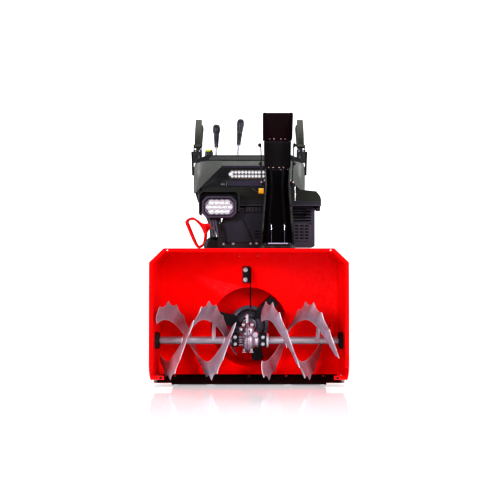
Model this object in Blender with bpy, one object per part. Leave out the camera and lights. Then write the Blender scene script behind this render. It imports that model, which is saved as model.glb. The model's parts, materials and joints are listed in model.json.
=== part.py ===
"""Two-stage petrol snow blower, modelled in metres with +Z up.

Every piece is placed by x (to the right, seen from the front), depth (back from the intake
housing's front edge) and z (up from the ground). The empty named front_edge carries that frame,
so the finished object stands centred over the origin and faces -Y.
"""

from math import asin, ceil, cos, pi, radians, sin

import bmesh
import bpy
from mathutils import Matrix, Vector

# Driving dimensions
HALF_LENGTH = 0.657
GAP = 0.0005
SHEET = 0.003

HALF_WIDTH = 0.3676
HOUSING_TOP = 0.532
CHAMFER_X = 0.054
CHAMFER_Z = 0.0515
SIDE_BOTTOM = 0.036
LIP = 0.013
CORNER_RADIUS = 0.078

AUGER_DEPTH = 0.160
AUGER_Z = 0.176
AUGER_RADIUS = 0.156
RIBBON_RADIUS = 0.140
RIBBON_INNER = 0.079
RIBBON_LEAN = 0.018
RIBBONS = {
    -1: {"first": -35.0, "last": 302.6, "rim_x": -0.3465, "pitch": 0.318, "lugs": ((90, 222), (270, 450))},
    1: {"first": -25.0, "last": 292.6, "rim_x": 0.0567, "pitch": 0.316, "lugs": ((90, 270), (270, 412))},
}
TROUGH_RADIUS = 0.166
SHAFT_RADIUS = 0.010
SLEEVE_RADIUS = 0.015
BACK_DEPTH = AUGER_DEPTH + TROUGH_RADIUS

IMPELLER_Z = 0.217
DRUM_RADIUS = 0.160
DRUM_BACK = 0.455
IMPELLER_RADIUS = 0.150
DRIVE_RADIUS = 0.0095
WORM_RADIUS = 0.0105
WHEEL_GEAR_RADIUS = 0.0295

CHUTE_X = 0.120
CHUTE_DEPTH = 0.400
CHUTE_RADIUS = 0.068
COLLAR_Z = 0.5330
CHUTE_TOP = 0.878

AXLE_DEPTH = 0.780
TYRE_RADIUS = 0.203
TYRE_HALF = 0.060
TYRE_X = 0.270

CRANK_Z = 0.600
BELT_DEPTH = 0.508
ENGINE_FRONT = 0.546

LAMP_X = -0.129
LAMP_Z = 0.719
LAMP_DEPTH = 0.455

CONSOLE_HALF = 0.283
GRIP_X = 0.275
LEVER_PIVOT = (1.112, 1.096)
TRIGGER_PIVOT = (1.120, 1.062)

X_AXIS = Vector((1, 0, 0))
Y_AXIS = Vector((0, 1, 0))
Z_AXIS = Vector((0, 0, 1))
ROUND = 18


def clear_scene():
    for item in list(bpy.data.objects):
        bpy.data.objects.remove(item, do_unlink=True)


def paint(name, colour, roughness, metallic=0.0):
    material = bpy.data.materials.new(name)
    material.use_nodes = True
    shader = material.node_tree.nodes["Principled BSDF"]
    shader.inputs["Base Color"].default_value = (*colour, 1.0)
    shader.inputs["Roughness"].default_value = roughness
    shader.inputs["Metallic"].default_value = metallic
    material.diffuse_color = (*colour, 1.0)
    return material


clear_scene()
FRONT = bpy.data.objects.new("front_edge", None)
FRONT.location = (0, -HALF_LENGTH, 0)
bpy.context.scene.collection.objects.link(FRONT)

RED = paint("red_paint", (0.72, 0.005, 0.01), 0.25)
BLACK_PAINT = paint("black_paint", (0.012, 0.012, 0.014), 0.35)
BLACK_PLASTIC = paint("black_plastic", (0.02, 0.02, 0.024), 0.5)
COVER_PLASTIC = paint("cover_plastic", (0.03, 0.03, 0.045), 0.4)
GALVANISED = paint("galvanised_steel", (0.5, 0.49, 0.54), 0.42, 0.9)
ZINC = paint("zinc_plate", (0.75, 0.75, 0.77), 0.3, 1.0)
CAST = paint("cast_aluminium", (0.62, 0.6, 0.63), 0.45, 0.9)
RUBBER = paint("rubber", (0.012, 0.012, 0.012), 0.85)
GRIP_RUBBER = paint("grip_rubber", (0.025, 0.027, 0.02), 0.7)
LENS = paint("lens", (0.92, 0.92, 0.95), 0.1)
RED_PLASTIC = paint("red_plastic", (0.65, 0.01, 0.015), 0.35)
YELLOW = paint("yellow_plastic", (0.75, 0.65, 0.05), 0.4)
RUNNER = paint("runner_plastic", (0.85, 0.85, 0.84), 0.4)


# Mesh helpers

def make(name, mesh_builder):
    bmesh.ops.remove_doubles(mesh_builder, verts=mesh_builder.verts, dist=1e-6)
    bmesh.ops.recalc_face_normals(mesh_builder, faces=mesh_builder.faces)
    mesh = bpy.data.meshes.new(name)
    mesh_builder.to_mesh(mesh)
    mesh_builder.free()
    item = bpy.data.objects.new(name, mesh)
    bpy.context.scene.collection.objects.link(item)
    item.parent = FRONT
    return item


def on_axis(axis, u, v, along):
    """A point from two coordinates across an axis and one along it."""
    return {"X": (along, u, v), "Y": (u, along, v), "Z": (u, v, along)}[axis]


def prism(axis, outline, low, high):
    """An outline extruded along an axis; u and v are the other two axes in X, Y, Z order."""
    builder = bmesh.new()
    corners = [builder.verts.new(on_axis(axis, u, v, low)) for u, v in outline]
    face = builder.faces.new(corners)
    grown = bmesh.ops.extrude_face_region(builder, geom=[face])
    moved = [part for part in grown["geom"] if isinstance(part, bmesh.types.BMVert)]
    bmesh.ops.translate(builder, verts=moved, vec=on_axis(axis, 0, 0, high - low))
    return make("piece", builder)


def box(x0, x1, d0, d1, z0, z1):
    return prism("Z", [(x0, d0), (x1, d0), (x1, d1), (x0, d1)], z0, z1)


def circle(u, v, radius, count=ROUND, start=0.0, sweep=2 * pi):
    steps = count if sweep >= 2 * pi else count + 1
    return [
        (u + radius * cos(start + sweep * i / count), v + radius * sin(start + sweep * i / count))
        for i in range(steps)
    ]


def rod(axis, u, v, radius, low, high, count=ROUND):
    return prism(axis, circle(u, v, radius, count), low, high)


def arc_strip(axis, u, v, inner, outer, start, sweep, low, high, count=12):
    outline = circle(u, v, outer, count, start, sweep) + circle(u, v, inner, count, start, sweep)[::-1]
    return prism(axis, outline, low, high)


def lathe(axis, centre, profile, count=ROUND):
    """A closed profile of (radius, along) points turned about an axis through centre."""
    builder = bmesh.new()
    cu, cv = centre
    rings = []
    for radius, along in profile:
        if radius < 1e-6:
            rings.append([builder.verts.new(on_axis(axis, cu, cv, along))] * count)
            continue
        rings.append([builder.verts.new(on_axis(axis, u, v, along)) for u, v in circle(cu, cv, radius, count)])
    for i, ring in enumerate(rings):
        following = rings[(i + 1) % len(rings)]
        for j in range(count):
            k = (j + 1) % count
            corners = list(dict.fromkeys([ring[j], ring[k], following[k], following[j]]))
            if len(corners) > 2 and builder.faces.get(corners) is None:
                builder.faces.new(corners)
    return make("piece", builder)


def loft(loops):
    """A closed skin through loops that have the same number of points."""
    builder = bmesh.new()
    rings = [[builder.verts.new(point) for point in loop] for loop in loops]
    count = len(rings[0])
    for lower, upper in zip(rings, rings[1:]):
        for j in range(count):
            k = (j + 1) % count
            builder.faces.new([lower[j], lower[k], upper[k], upper[j]])
    builder.faces.new(rings[0][::-1])
    builder.faces.new(rings[-1])
    return make("piece", builder)


def smooth_route(points, spacing):
    """Points a spacing apart on a Catmull-Rom curve through the given ones."""
    knots = [Vector(point) for point in points]
    knots = [2 * knots[0] - knots[1]] + knots + [2 * knots[-1] - knots[-2]]
    route = []
    for a, b, c, d in zip(knots, knots[1:], knots[2:], knots[3:]):
        steps = max(2, ceil((c - b).length / spacing))
        for i in range(steps):
            t = i / steps
            route.append(
                0.5 * (2 * b + (c - a) * t + (2 * a - 5 * b + 4 * c - d) * t ** 2
                       + (3 * b - a - 3 * c + d) * t ** 3)
            )
    route.append(knots[-2])
    return route


def tube(points, radius, resolution=2, spacing=None):
    """A round bar along a smooth route, made by a bevelled curve with filled caps."""
    route = smooth_route(points, spacing) if spacing else [Vector(point) for point in points]
    data = bpy.data.curves.new("route", "CURVE")
    data.dimensions = "3D"
    data.bevel_depth = radius
    data.bevel_resolution = resolution
    data.use_fill_caps = True
    spline = data.splines.new("POLY")
    spline.points.add(len(route) - 1)
    for slot, point in zip(spline.points, route):
        slot.co = (*point, 1.0)
    item = bpy.data.objects.new("piece", data)
    bpy.context.scene.collection.objects.link(item)
    item.parent = FRONT
    return as_mesh(item)


def as_mesh(item):
    """The object as it stands with its modifiers, as a plain mesh object."""
    bpy.context.view_layer.update()
    seen = item.evaluated_get(bpy.context.evaluated_depsgraph_get())
    mesh = bpy.data.meshes.new_from_object(seen)
    builder = bmesh.new()
    builder.from_mesh(mesh)
    matrix = item.matrix_basis.copy()
    bpy.data.objects.remove(item, do_unlink=True)
    solid = make("piece", builder)
    solid.matrix_basis = matrix
    return solid


def boolean(operation, target, tools):
    for tool in tools:
        modifier = target.modifiers.new(operation, "BOOLEAN")
        modifier.operation = operation
        modifier.object = tool
    bpy.context.view_layer.update()
    seen = target.evaluated_get(bpy.context.evaluated_depsgraph_get())
    mesh = bpy.data.meshes.new_from_object(seen)
    target.modifiers.clear()
    target.data = mesh
    for tool in tools:
        bpy.data.objects.remove(tool, do_unlink=True)
    return target


def join(target, *tools):
    return boolean("UNION", target, tools)


def cut(target, *tools):
    return boolean("DIFFERENCE", target, tools)


def turned(item, axis, angle, about):
    """The piece turned about a point; its mesh takes the turn."""
    spin = Matrix.Translation(about) @ Matrix.Rotation(radians(angle), 4, axis) @ Matrix.Translation(
        -Vector(about)
    )
    item.data.transform(spin)
    return item


def mirrored(item):
    """The same shape on the other side of the machine."""
    item.data.transform(Matrix.Scale(-1, 4, X_AXIS))
    item.data.flip_normals()
    return item


def inset(outline, distance):
    """A convex outline moved inwards by a distance."""
    area = sum(a[0] * b[1] - b[0] * a[1] for a, b in zip(outline, outline[1:] + outline[:1]))
    side = 1 if area > 0 else -1
    lines = []
    for a, b in zip(outline, outline[1:] + outline[:1]):
        direction = (Vector(b) - Vector(a)).normalized()
        normal = Vector((-direction.y, direction.x)) * side
        lines.append((Vector(a) + normal * distance, direction))
    moved = []
    for (p, r), (q, s) in zip(lines[-1:] + lines[:-1], lines):
        cross = r.x * s.y - r.y * s.x
        t = ((q.x - p.x) * s.y - (q.y - p.y) * s.x) / cross
        moved.append(tuple(p + r * t))
    return moved


def chamfered(u0, u1, v0, v1, cut_size):
    c = cut_size
    return [(u0 + c, v0), (u1 - c, v0), (u1, v0 + c), (u1, v1 - c),
            (u1 - c, v1), (u0 + c, v1), (u0, v1 - c), (u0, v0 + c)]


def finish(name, item, material, joint=None, smooth=True):
    """Name the piece, paint it and put its origin on its joint's axis."""
    item.name = name
    item.data.name = name
    item.data.materials.clear()
    item.data.materials.append(material)
    if smooth:
        item.data.shade_smooth()
        item.data.set_sharp_from_angle(angle=radians(35))
    if joint is not None:
        item.data.transform(Matrix.Translation(-Vector(joint)))
        item.location = joint
    return item


# Intake: housing, drum, scraper, shoes, bearings

def hat_outline(bottom):
    """The housing seen from the front: sides, chamfered top corners and top."""
    shoulder_x = HALF_WIDTH - CHAMFER_X
    shoulder_z = HOUSING_TOP - CHAMFER_Z
    return [(-HALF_WIDTH, bottom), (HALF_WIDTH, bottom), (HALF_WIDTH, shoulder_z),
            (shoulder_x, HOUSING_TOP), (-shoulder_x, HOUSING_TOP), (-HALF_WIDTH, shoulder_z)]


def front_corner_cutter():
    centre = (CORNER_RADIUS, SIDE_BOTTOM + CORNER_RADIUS)
    arc = circle(*centre, CORNER_RADIUS, 8, pi, pi / 2)
    outline = [(-0.01, SIDE_BOTTOM + CORNER_RADIUS)] + arc + [(CORNER_RADIUS, 0.0), (-0.01, 0.0)]
    return prism("X", outline, -0.4, 0.4)


def auger_housing():
    back_outer = BACK_DEPTH + SHEET
    shell = prism("Y", hat_outline(SIDE_BOTTOM), 0, back_outer)
    low = -0.05
    inner = inset(hat_outline(low), SHEET)
    shell = cut(shell, prism("Y", inner, -0.01, BACK_DEPTH))
    shell = cut(shell, box(-HALF_WIDTH + SHEET, HALF_WIDTH - SHEET, 0.3, 0.35, 0, AUGER_Z))
    lip = prism("Y", hat_outline(SIDE_BOTTOM), 0, SHEET)
    lip = cut(lip, prism("Y", inset(hat_outline(low), LIP), -0.01, 0.01))
    front_edge = radians(-69.6)
    trough = arc_strip("X", AUGER_DEPTH, AUGER_Z, TROUGH_RADIUS, TROUGH_RADIUS + SHEET,
                       radians(0.6), front_edge, -HALF_WIDTH + 0.001, HALF_WIDTH - 0.001, 14)
    feet = [box(*sorted((side * 0.318, side * (HALF_WIDTH - 0.001))), 0.050, 0.053, 0.040, 0.056)
            for side in (-1, 1)]
    shell = join(shell, lip, trough, *feet)
    opening = rod("Y", 0, IMPELLER_Z, DRUM_RADIUS, 0.2, 0.36, 32)
    shell = cut(shell, front_corner_cutter(), opening)
    return finish("auger_housing", shell, RED)


def impeller_housing():
    outer_back = DRUM_BACK + SHEET
    drum = rod("Y", 0, IMPELLER_Z, DRUM_RADIUS + SHEET, 0.2, outer_back, 32)
    duct = rod("Z", CHUTE_X, CHUTE_DEPTH, CHUTE_RADIUS, IMPELLER_Z, COLLAR_Z - GAP)
    drum = join(drum, duct)
    hollow = rod("Y", 0, IMPELLER_Z, DRUM_RADIUS, 0.19, DRUM_BACK, 32)
    hollow = join(hollow, rod("Z", CHUTE_X, CHUTE_DEPTH, CHUTE_RADIUS - SHEET, IMPELLER_Z, 0.6))
    drum = cut(drum, hollow, rod("Y", 0, IMPELLER_Z, DRIVE_RADIUS + GAP, 0.44, 0.47))
    trough_front = rod("X", AUGER_DEPTH, AUGER_Z, TROUGH_RADIUS + SHEET + GAP, -0.3, 0.3, 48)
    back_plane = BACK_DEPTH + SHEET + GAP
    drum = cut(drum, trough_front, box(-0.3, 0.3, 0.1, back_plane, AUGER_Z - 0.01, 0.6))
    return finish("impeller_housing", drum, RED)


def scraper_bar():
    outline = [(0.148, 0.0060), (0.2165, 0.0100), (0.2468, 0.0236),
               (0.2445, 0.0280), (0.2145, 0.0145), (0.148, 0.0108)]
    bar = prism("X", outline, -0.361, 0.361)
    return finish("scraper_bar", bar, BLACK_PAINT, smooth=False)


def skid_shoe(side):
    thickness = 0.0045
    top = [(0.372, 0.018), (0.342, thickness), (0.140, thickness), (0.108, 0.0195)]
    sole = [(0.104, 0.0160), (0.138, 0.0), (0.345, 0.0), (0.376, 0.014)]
    runner = prism("X", sole + top, 0.296, 0.3725)
    plate_low = 0.001
    plate = prism("X", [(0.130, plate_low), (0.350, plate_low), (0.350, 0.062), (0.320, 0.092),
                        (0.160, 0.092), (0.130, 0.062)], HALF_WIDTH + GAP, 0.3725)
    bolts = [rod("X", depth, 0.058, 0.008, 0.372, 0.378, 6) for depth in (0.175, 0.305)]
    shoe = join(runner, plate, *bolts)
    name = "skid_shoe_right"
    if side < 0:
        shoe = mirrored(shoe)
        name = "skid_shoe_left"
    return finish(name, shoe, RUNNER, (side * 0.37, 0.24, 0.05))


def auger_bearing(side):
    disc = lathe("X", (AUGER_DEPTH, AUGER_Z), [
        (SHAFT_RADIUS + GAP, 0.349), (0.030, 0.349), (0.033, 0.352),
        (0.033, HALF_WIDTH - SHEET - GAP), (SHAFT_RADIUS + GAP, HALF_WIDTH - SHEET - GAP)])
    name = "auger_bearing_right"
    if side < 0:
        disc = mirrored(disc)
        name = "auger_bearing_left"
    return finish(name, disc, BLACK_PLASTIC)


def gearbox_strut():
    foot = box(-0.026, 0.006, BACK_DEPTH - 0.0065, BACK_DEPTH - GAP, 0.395, 0.463)
    web = prism("X", [(BACK_DEPTH - 0.003, 0.397), (BACK_DEPTH - 0.003, 0.455), (0.318, 0.455),
                      (0.180, 0.3135), (0.146, 0.304), (0.146, 0.286), (0.164, 0.286)], 0.0030, 0.0085)
    bolts = [rod("Y", -0.015, z, 0.008, BACK_DEPTH - 0.012, BACK_DEPTH - 0.005, 6) for z in (0.449, 0.408)]
    return finish("gearbox_strut", join(foot, web, *bolts), BLACK_PAINT, smooth=False)


# Auger, gearbox and impeller

def toothed_radius(turn, teeth_per_turn):
    """The ribbon's outer radius: a run of pointed teeth with scooped valleys."""
    phase = (turn * teeth_per_turn) % 1.0
    tooth = max(0.0, 1.0 - abs(phase - 0.5) / 0.28)
    return RIBBON_RADIUS + (AUGER_RADIUS - RIBBON_RADIUS) * tooth


def ribbon_x(shape, half_turn, angle, share):
    """Where a ribbon stands along the shaft; share runs from its inner edge (0) to its rim (1)."""
    along = angle - shape["first"] - half_turn
    lean = RIBBON_LEAN * (0.35 + 0.65 * min(1.0, along / 90))
    return shape["rim_x"] + shape["pitch"] * along / 360 - lean * (1.0 - share)


def ribbon(shape, half_turn, direction):
    """A helical ribbon; angles are turned about the auger shaft from the front, towards direction."""
    teeth_per_turn = 13
    start_angle, end_angle = shape["first"] + half_turn, shape["last"] + half_turn
    steps = ceil((end_angle - start_angle) / 360 * teeth_per_turn * 2)
    thickness = 0.0032
    builder = bmesh.new()
    loops = []
    for i in range(steps + 1):
        angle = start_angle + (end_angle - start_angle) * i / steps
        turn = radians(angle)
        outer = toothed_radius(angle / 360, teeth_per_turn)
        loop = []
        for radius, shift in ((RIBBON_INNER, -1), (outer, -1), (outer, 1), (RIBBON_INNER, 1)):
            share = (radius - RIBBON_INNER) / (AUGER_RADIUS - RIBBON_INNER)
            x = ribbon_x(shape, half_turn, angle, share) + thickness / 2 * shift
            loop.append(builder.verts.new((x, AUGER_DEPTH - radius * sin(turn), AUGER_Z + direction * radius * cos(turn))))
        loops.append(loop)
    for near, far in zip(loops, loops[1:]):
        for j in range(4):
            k = (j + 1) % 4
            builder.faces.new([near[j], near[k], far[k], far[j]])
    builder.faces.new(loops[0])
    builder.faces.new(loops[-1][::-1])
    return make("piece", builder)


def lug(x, angle, direction):
    """A flat lug from the sleeve out to a ribbon."""
    bar = box(x - 0.003, x + 0.003, AUGER_DEPTH - 0.011, AUGER_DEPTH + 0.011,
              AUGER_Z + SLEEVE_RADIUS - 0.003, AUGER_Z + 0.086)
    if direction < 0:
        bar = turned(bar, X_AXIS, 180, (0, AUGER_DEPTH, AUGER_Z))
    return turned(bar, X_AXIS, angle * direction, (0, AUGER_DEPTH, AUGER_Z))


def auger_flight(side):
    """One side's pair of toothed ribbons on a sleeve, with its shear-bolt coupling."""
    shape = RIBBONS[side]
    sleeve = lathe("X", (AUGER_DEPTH, AUGER_Z), [
        (SHAFT_RADIUS + GAP, 0.070), (SLEEVE_RADIUS, 0.070), (SLEEVE_RADIUS, 0.3475),
        (SHAFT_RADIUS + GAP, 0.3475)], 24)
    coupling = box(0.0405, 0.067, AUGER_DEPTH - 0.026, AUGER_DEPTH + 0.026, 0.153, 0.204)
    flange = rod("X", AUGER_DEPTH, AUGER_Z, 0.028, 0.066, 0.076, 24)
    bolts = [rod("Y", 0.054, z, 0.0065, AUGER_DEPTH - 0.033, AUGER_DEPTH - 0.02, 6)
             for z in (0.191, 0.165)]
    hub = cut(join(coupling, flange, *bolts), rod("X", AUGER_DEPTH, AUGER_Z, SHAFT_RADIUS + GAP, 0.03, 0.09, 24))
    body = join(sleeve, hub)
    if side < 0:
        body = mirrored(body)
    parts = []
    for half_turn, angles in zip((0, 180), shape["lugs"]):
        parts.append(ribbon(shape, half_turn, side))
        for angle in angles:
            parts.append(lug(ribbon_x(shape, half_turn, angle, 0.0), angle, side))
    flight = join(body, *parts)
    name = "auger_flight_left" if side < 0 else "auger_flight_right"
    return finish(name, flight, GALVANISED, (0, AUGER_DEPTH, AUGER_Z))


def auger_shaft():
    bar = rod("X", AUGER_DEPTH, AUGER_Z, SHAFT_RADIUS, -0.3635, 0.3635, 24)
    return finish("auger_shaft", bar, ZINC, (0, AUGER_DEPTH, AUGER_Z))


def worm_wheel():
    bore = SHAFT_RADIUS + GAP
    gear = lathe("X", (AUGER_DEPTH, AUGER_Z), [
        (bore, -0.012), (0.016, -0.012), (WHEEL_GEAR_RADIUS, -0.007), (WHEEL_GEAR_RADIUS, 0.007),
        (0.016, 0.012), (bore, 0.012)])
    return finish("worm_wheel", gear, CAST, (0, AUGER_DEPTH, AUGER_Z))


def gearbox_half(side):
    """Half of the cast case, split across the auger shaft, hollow around wheel and worm."""
    split = -0.005
    case = join(rod("X", AUGER_DEPTH, AUGER_Z, 0.041, -0.020, 0.014),
                rod("X", AUGER_DEPTH, AUGER_Z, 0.024, -0.0385, 0.0385),
                rod("Y", 0, IMPELLER_Z, 0.0205, 0.110, 0.228),
                rod("X", AUGER_DEPTH, AUGER_Z, 0.0475, split - 0.006, split + 0.006, 24),
                prism("X", chamfered(0.104, 0.226, 0.190, 0.2445, 0.012), split - 0.0045, split + 0.0045),
                box(-0.024, 0.018, 0.138, 0.182, 0.1305, 0.141))
    if side < 0:
        ear = [(0.146, 0.238), (0.176, 0.238), (0.172, 0.272), (0.166, 0.280), (0.154, 0.280), (0.150, 0.272)]
        case = join(case, prism("X", ear, split - 0.007, split + 0.002))
    wheel_space = rod("X", AUGER_DEPTH, AUGER_Z, 0.033, -0.0145, 0.0125)
    worm_space = rod("Y", 0, IMPELLER_Z, 0.0135, 0.116, 0.205)
    shaft_bore = rod("X", AUGER_DEPTH, AUGER_Z, SHAFT_RADIUS + GAP, -0.1, 0.1, 16)
    drive_bore = rod("Y", 0, IMPELLER_Z, DRIVE_RADIUS + GAP, 0.19, 0.3, 16)
    far_x = sorted((split + side * GAP / 2, -side * 0.1))
    other_half = box(*far_x, 0.05, 0.3, 0.1, 0.3)
    half = cut(case, wheel_space, worm_space, shaft_bore, drive_bore, other_half)
    return finish("gearbox_case_right" if side > 0 else "gearbox_case_left", half, CAST)


def impeller_shaft():
    """The drive shaft with the worm at its front end."""
    shaft = lathe("Y", (0, IMPELLER_Z), [
        (0.0, 0.118), (0.006, 0.118), (0.006, 0.124), (WORM_RADIUS, 0.126), (WORM_RADIUS, 0.196),
        (DRIVE_RADIUS, 0.198), (DRIVE_RADIUS, 0.521), (0.0, 0.521)], 24)
    return finish("impeller_shaft", shaft, ZINC, (0, CHUTE_DEPTH, IMPELLER_Z))


def impeller():
    bore = DRIVE_RADIUS + GAP
    hub = lathe("Y", (0, IMPELLER_Z), [
        (bore, 0.350), (0.030, 0.350), (0.034, 0.358), (0.050, 0.364), (0.056, 0.358), (0.064, 0.360),
        (0.064, 0.372), (0.081, 0.374), (0.081, 0.378), (0.020, 0.380), (0.020, 0.440), (bore, 0.440)])
    blades = []
    for turn in (38, 158, 278):
        plate = box(-0.003, 0.003, 0.352, 0.436, IMPELLER_Z + 0.016, IMPELLER_Z + IMPELLER_RADIUS)
        tip = prism("Z", [(-0.003, 0.352), (0.030, 0.352), (0.030, 0.356), (0.001, 0.356),
                          (0.001, 0.430), (-0.003, 0.430)], IMPELLER_Z + 0.05, IMPELLER_Z + 0.14)
        blades.append(turned(join(plate, tip), Y_AXIS, turn, (0, 0, IMPELLER_Z)))
    wheel = join(hub, *blades)
    return finish("impeller", wheel, BLACK_PAINT, (0, CHUTE_DEPTH, IMPELLER_Z))


def pulley(name, z, radius, bore):
    front, back = BELT_DEPTH - 0.009, BELT_DEPTH + 0.009
    wheel = lathe("Y", (0, z), [
        (bore, front), (radius, front), (radius, front + 0.002), (radius - 0.009, BELT_DEPTH - 0.003),
        (radius - 0.009, BELT_DEPTH + 0.003), (radius, back - 0.002), (radius, back), (bore, back)])
    return finish(name, wheel, ZINC, (0, BELT_DEPTH, z))


def crank_pulley():
    wheel = lathe("Y", (0, CRANK_Z), [
        (0.0, 0.4985), (0.036, 0.4985), (0.036, 0.501), (0.027, 0.505), (0.027, 0.511), (0.036, 0.515),
        (0.036, 0.5175), (0.0125, 0.5175), (0.0125, 0.600), (0.0, 0.600)])
    return finish("crank_pulley", wheel, ZINC, (0, BELT_DEPTH, CRANK_Z))


def auger_belt():
    """A closed belt around the crank pulley and the impeller pulley."""
    big, small = 0.0795, 0.0285
    span = CRANK_Z - IMPELLER_Z
    lean = asin((big - small) / span)
    outlines = []
    for extra in (0.0, 0.006):
        lower = circle(0, IMPELLER_Z, big + extra, 20, pi - lean, pi + 2 * lean)
        upper = circle(0, CRANK_Z, small + extra, 14, 2 * pi + lean, pi - 2 * lean)
        outlines.append(lower + upper)
    inner, outer = outlines
    belt = prism("Y", outer, BELT_DEPTH - 0.0022, BELT_DEPTH + 0.0022)
    belt = cut(belt, prism("Y", inner, BELT_DEPTH - 0.01, BELT_DEPTH + 0.01))
    return finish("auger_belt", belt, RUBBER)


# Chassis, traction and wheels

def tractor_frame():
    half = 0.170
    front, rear, low, high = 0.4590, 0.900, 0.125, 0.500
    bay = 0.530
    frame = box(-half, half, front, rear, low, high)
    frame = cut(frame, box(-half + SHEET, half - SHEET, 0.533, rear - SHEET, 0, high - SHEET))
    frame = cut(frame, box(-half + SHEET, half - SHEET, front + SHEET, bay, 0, 0.6))
    frame = cut(frame, box(-0.2, 0.2, 0.4, front + SHEET + 0.001, 0.43, 0.6),
                prism("Y", circle(0, IMPELLER_Z, 0.108, 32), 0.4, 0.47),
                box(-0.06, 0.153, 0.4, 0.47, 0.217, 0.6),
                rod("X", AXLE_DEPTH, TYRE_RADIUS, 0.0130, -0.3, 0.3),
                rod("Y", 0, 0.33, 0.0115, 0.52, 0.54),
                rod("Z", CHUTE_X, CHUTE_DEPTH, CHUTE_RADIUS + GAP, 0.15, 0.6),
                box(-0.3, 0.3, 0.4, bay, 0.47, 0.6))
    return finish("tractor_frame", frame, BLACK_PAINT, smooth=False)


def drive_disc():
    disc = lathe("Y", (0, 0.33), [
        (0.0, 0.520), (0.011, 0.520), (0.011, 0.548), (0.030, 0.550), (0.110, 0.552), (0.115, 0.556),
        (0.115, 0.564), (0.0, 0.564)])
    return finish("drive_disc", disc, CAST, (0, 0.55, 0.33))


def friction_wheel():
    wheel = lathe("X", (0.634, 0.33), [
        (0.0, -0.160), (0.009, -0.160), (0.009, 0.040), (0.055, 0.046), (0.0675, 0.047), (0.0675, 0.059),
        (0.055, 0.060), (0.009, 0.066), (0.009, 0.160), (0.0, 0.160)])
    return finish("friction_wheel", wheel, RUBBER, (0, 0.634, 0.33))


def rim(side):
    """A dished steel rim with its half of the axle."""
    inner, outer = TYRE_X - 0.046, TYRE_X + 0.046
    disc = lathe("X", (AXLE_DEPTH, TYRE_RADIUS), [
        (0.0, 0.004), (0.0125, 0.004), (0.0125, 0.247), (0.034, 0.250), (0.092, 0.266),
        (0.092, inner + 0.012), (0.107, inner), (0.110, inner + 0.002), (0.097, inner + 0.014),
        (0.097, outer - 0.014), (0.110, outer - 0.002), (0.107, outer), (0.092, outer - 0.012),
        (0.092, 0.272), (0.034, 0.268), (0.034, 0.292), (0.012, 0.300), (0.0, 0.300)])
    name = "rim_right"
    if side < 0:
        disc = mirrored(disc)
        name = "rim_left"
    return finish(name, disc, BLACK_PAINT, (side * TYRE_X, AXLE_DEPTH, TYRE_RADIUS))


def tyre(side):
    inner, outer = TYRE_X - 0.046, TYRE_X + 0.046
    low, high = TYRE_X - TYRE_HALF, TYRE_X + TYRE_HALF
    bead = 0.1110
    body = lathe("X", (AXLE_DEPTH, TYRE_RADIUS), [
        (0.0980, inner + 0.0160), (bead, inner + 0.005), (bead, inner - 0.002), (0.140, low), (0.180, low + 0.005),
        (TYRE_RADIUS, low + 0.022), (TYRE_RADIUS, high - 0.022), (0.180, high - 0.005), (0.140, high),
        (bead, outer + 0.002), (bead, outer - 0.005), (0.0980, outer - 0.0160)], 28)
    name = "tyre_right"
    if side < 0:
        body = mirrored(body)
        name = "tyre_left"
    return finish(name, body, RUBBER, (side * TYRE_X, AXLE_DEPTH, TYRE_RADIUS))


# Engine

def belt_cover():
    outline = [(-0.128, 0.5008), (0.190, 0.5008), (0.190, 0.660), (0.150, 0.716), (-0.060, 0.716),
               (-0.105, 0.702), (-0.128, 0.640)]
    front, back = 0.487, ENGINE_FRONT - 0.003
    cover = prism("Y", outline, front, back)
    cover = cut(cover, prism("Y", inset(outline, SHEET), front + SHEET, 0.6),
                box(-0.125, 0.187, 0.49, 0.6, 0.40, 0.51))
    return finish("belt_cover", cover, COVER_PLASTIC, smooth=False)


def engine_block():
    case = prism("Y", chamfered(-0.110, 0.118, 0.5005, 0.690, 0.020), ENGINE_FRONT, 0.822)
    head = prism("Y", chamfered(0.100, 0.140, 0.540, 0.700, 0.012), 0.580, 0.780)
    deck = box(-0.09, 0.10, 0.570, 0.800, 0.680, 0.728)
    block = join(case, head, deck)
    return finish("engine_block", cut(block, rod("Y", 0, CRANK_Z, 0.0131, 0.5, 0.606)), CAST, smooth=False)


def engine_hood():
    """The moulded shroud over the engine, open underneath."""
    low, high = 0.729, 0.811
    base = [(-0.223, low), (0.318, low), (0.318, 0.757), (0.314, 0.772), (0.297, 0.794), (0.200, 0.804),
            (0.06, high), (-0.16, high), (-0.208, 0.799), (-0.223, 0.770)]
    front, back = 0.500, 0.790
    hood = prism("Y", base, front, back)
    hollow = inset([(-0.223, low - 0.02), (0.318, low - 0.02)] + base[2:], 0.004)
    hood = cut(hood, prism("Y", hollow, front + 0.004, back - 0.004))
    latch = prism("X", [(0.494, 0.784), (0.505, 0.784), (0.505, 0.807), (0.494, 0.803)], 0.041, 0.065)
    return finish("engine_hood", join(hood, latch), BLACK_PLASTIC)


def muffler_guard():
    """The slotted heat guard at the right of the engine."""
    x0, x1, front, back, low, high = 0.146, 0.299, 0.600, 0.770, 0.548, 0.7355
    guard = prism("Y", chamfered(x0, x1, low, high, 0.008), front, back)
    guard = cut(guard, box(x0 - 0.01, x1 - 0.003, front + 0.003, back - 0.003, low + 0.003, high - 0.003))
    for row in range(5):
        z = 0.708 - 0.0135 * row
        guard = cut(guard, box(x0 + 0.030, x1 - 0.018, front - 0.01, front + 0.01, z, z + 0.0055))
    return finish("muffler_guard", guard, COVER_PLASTIC, smooth=False)


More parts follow.
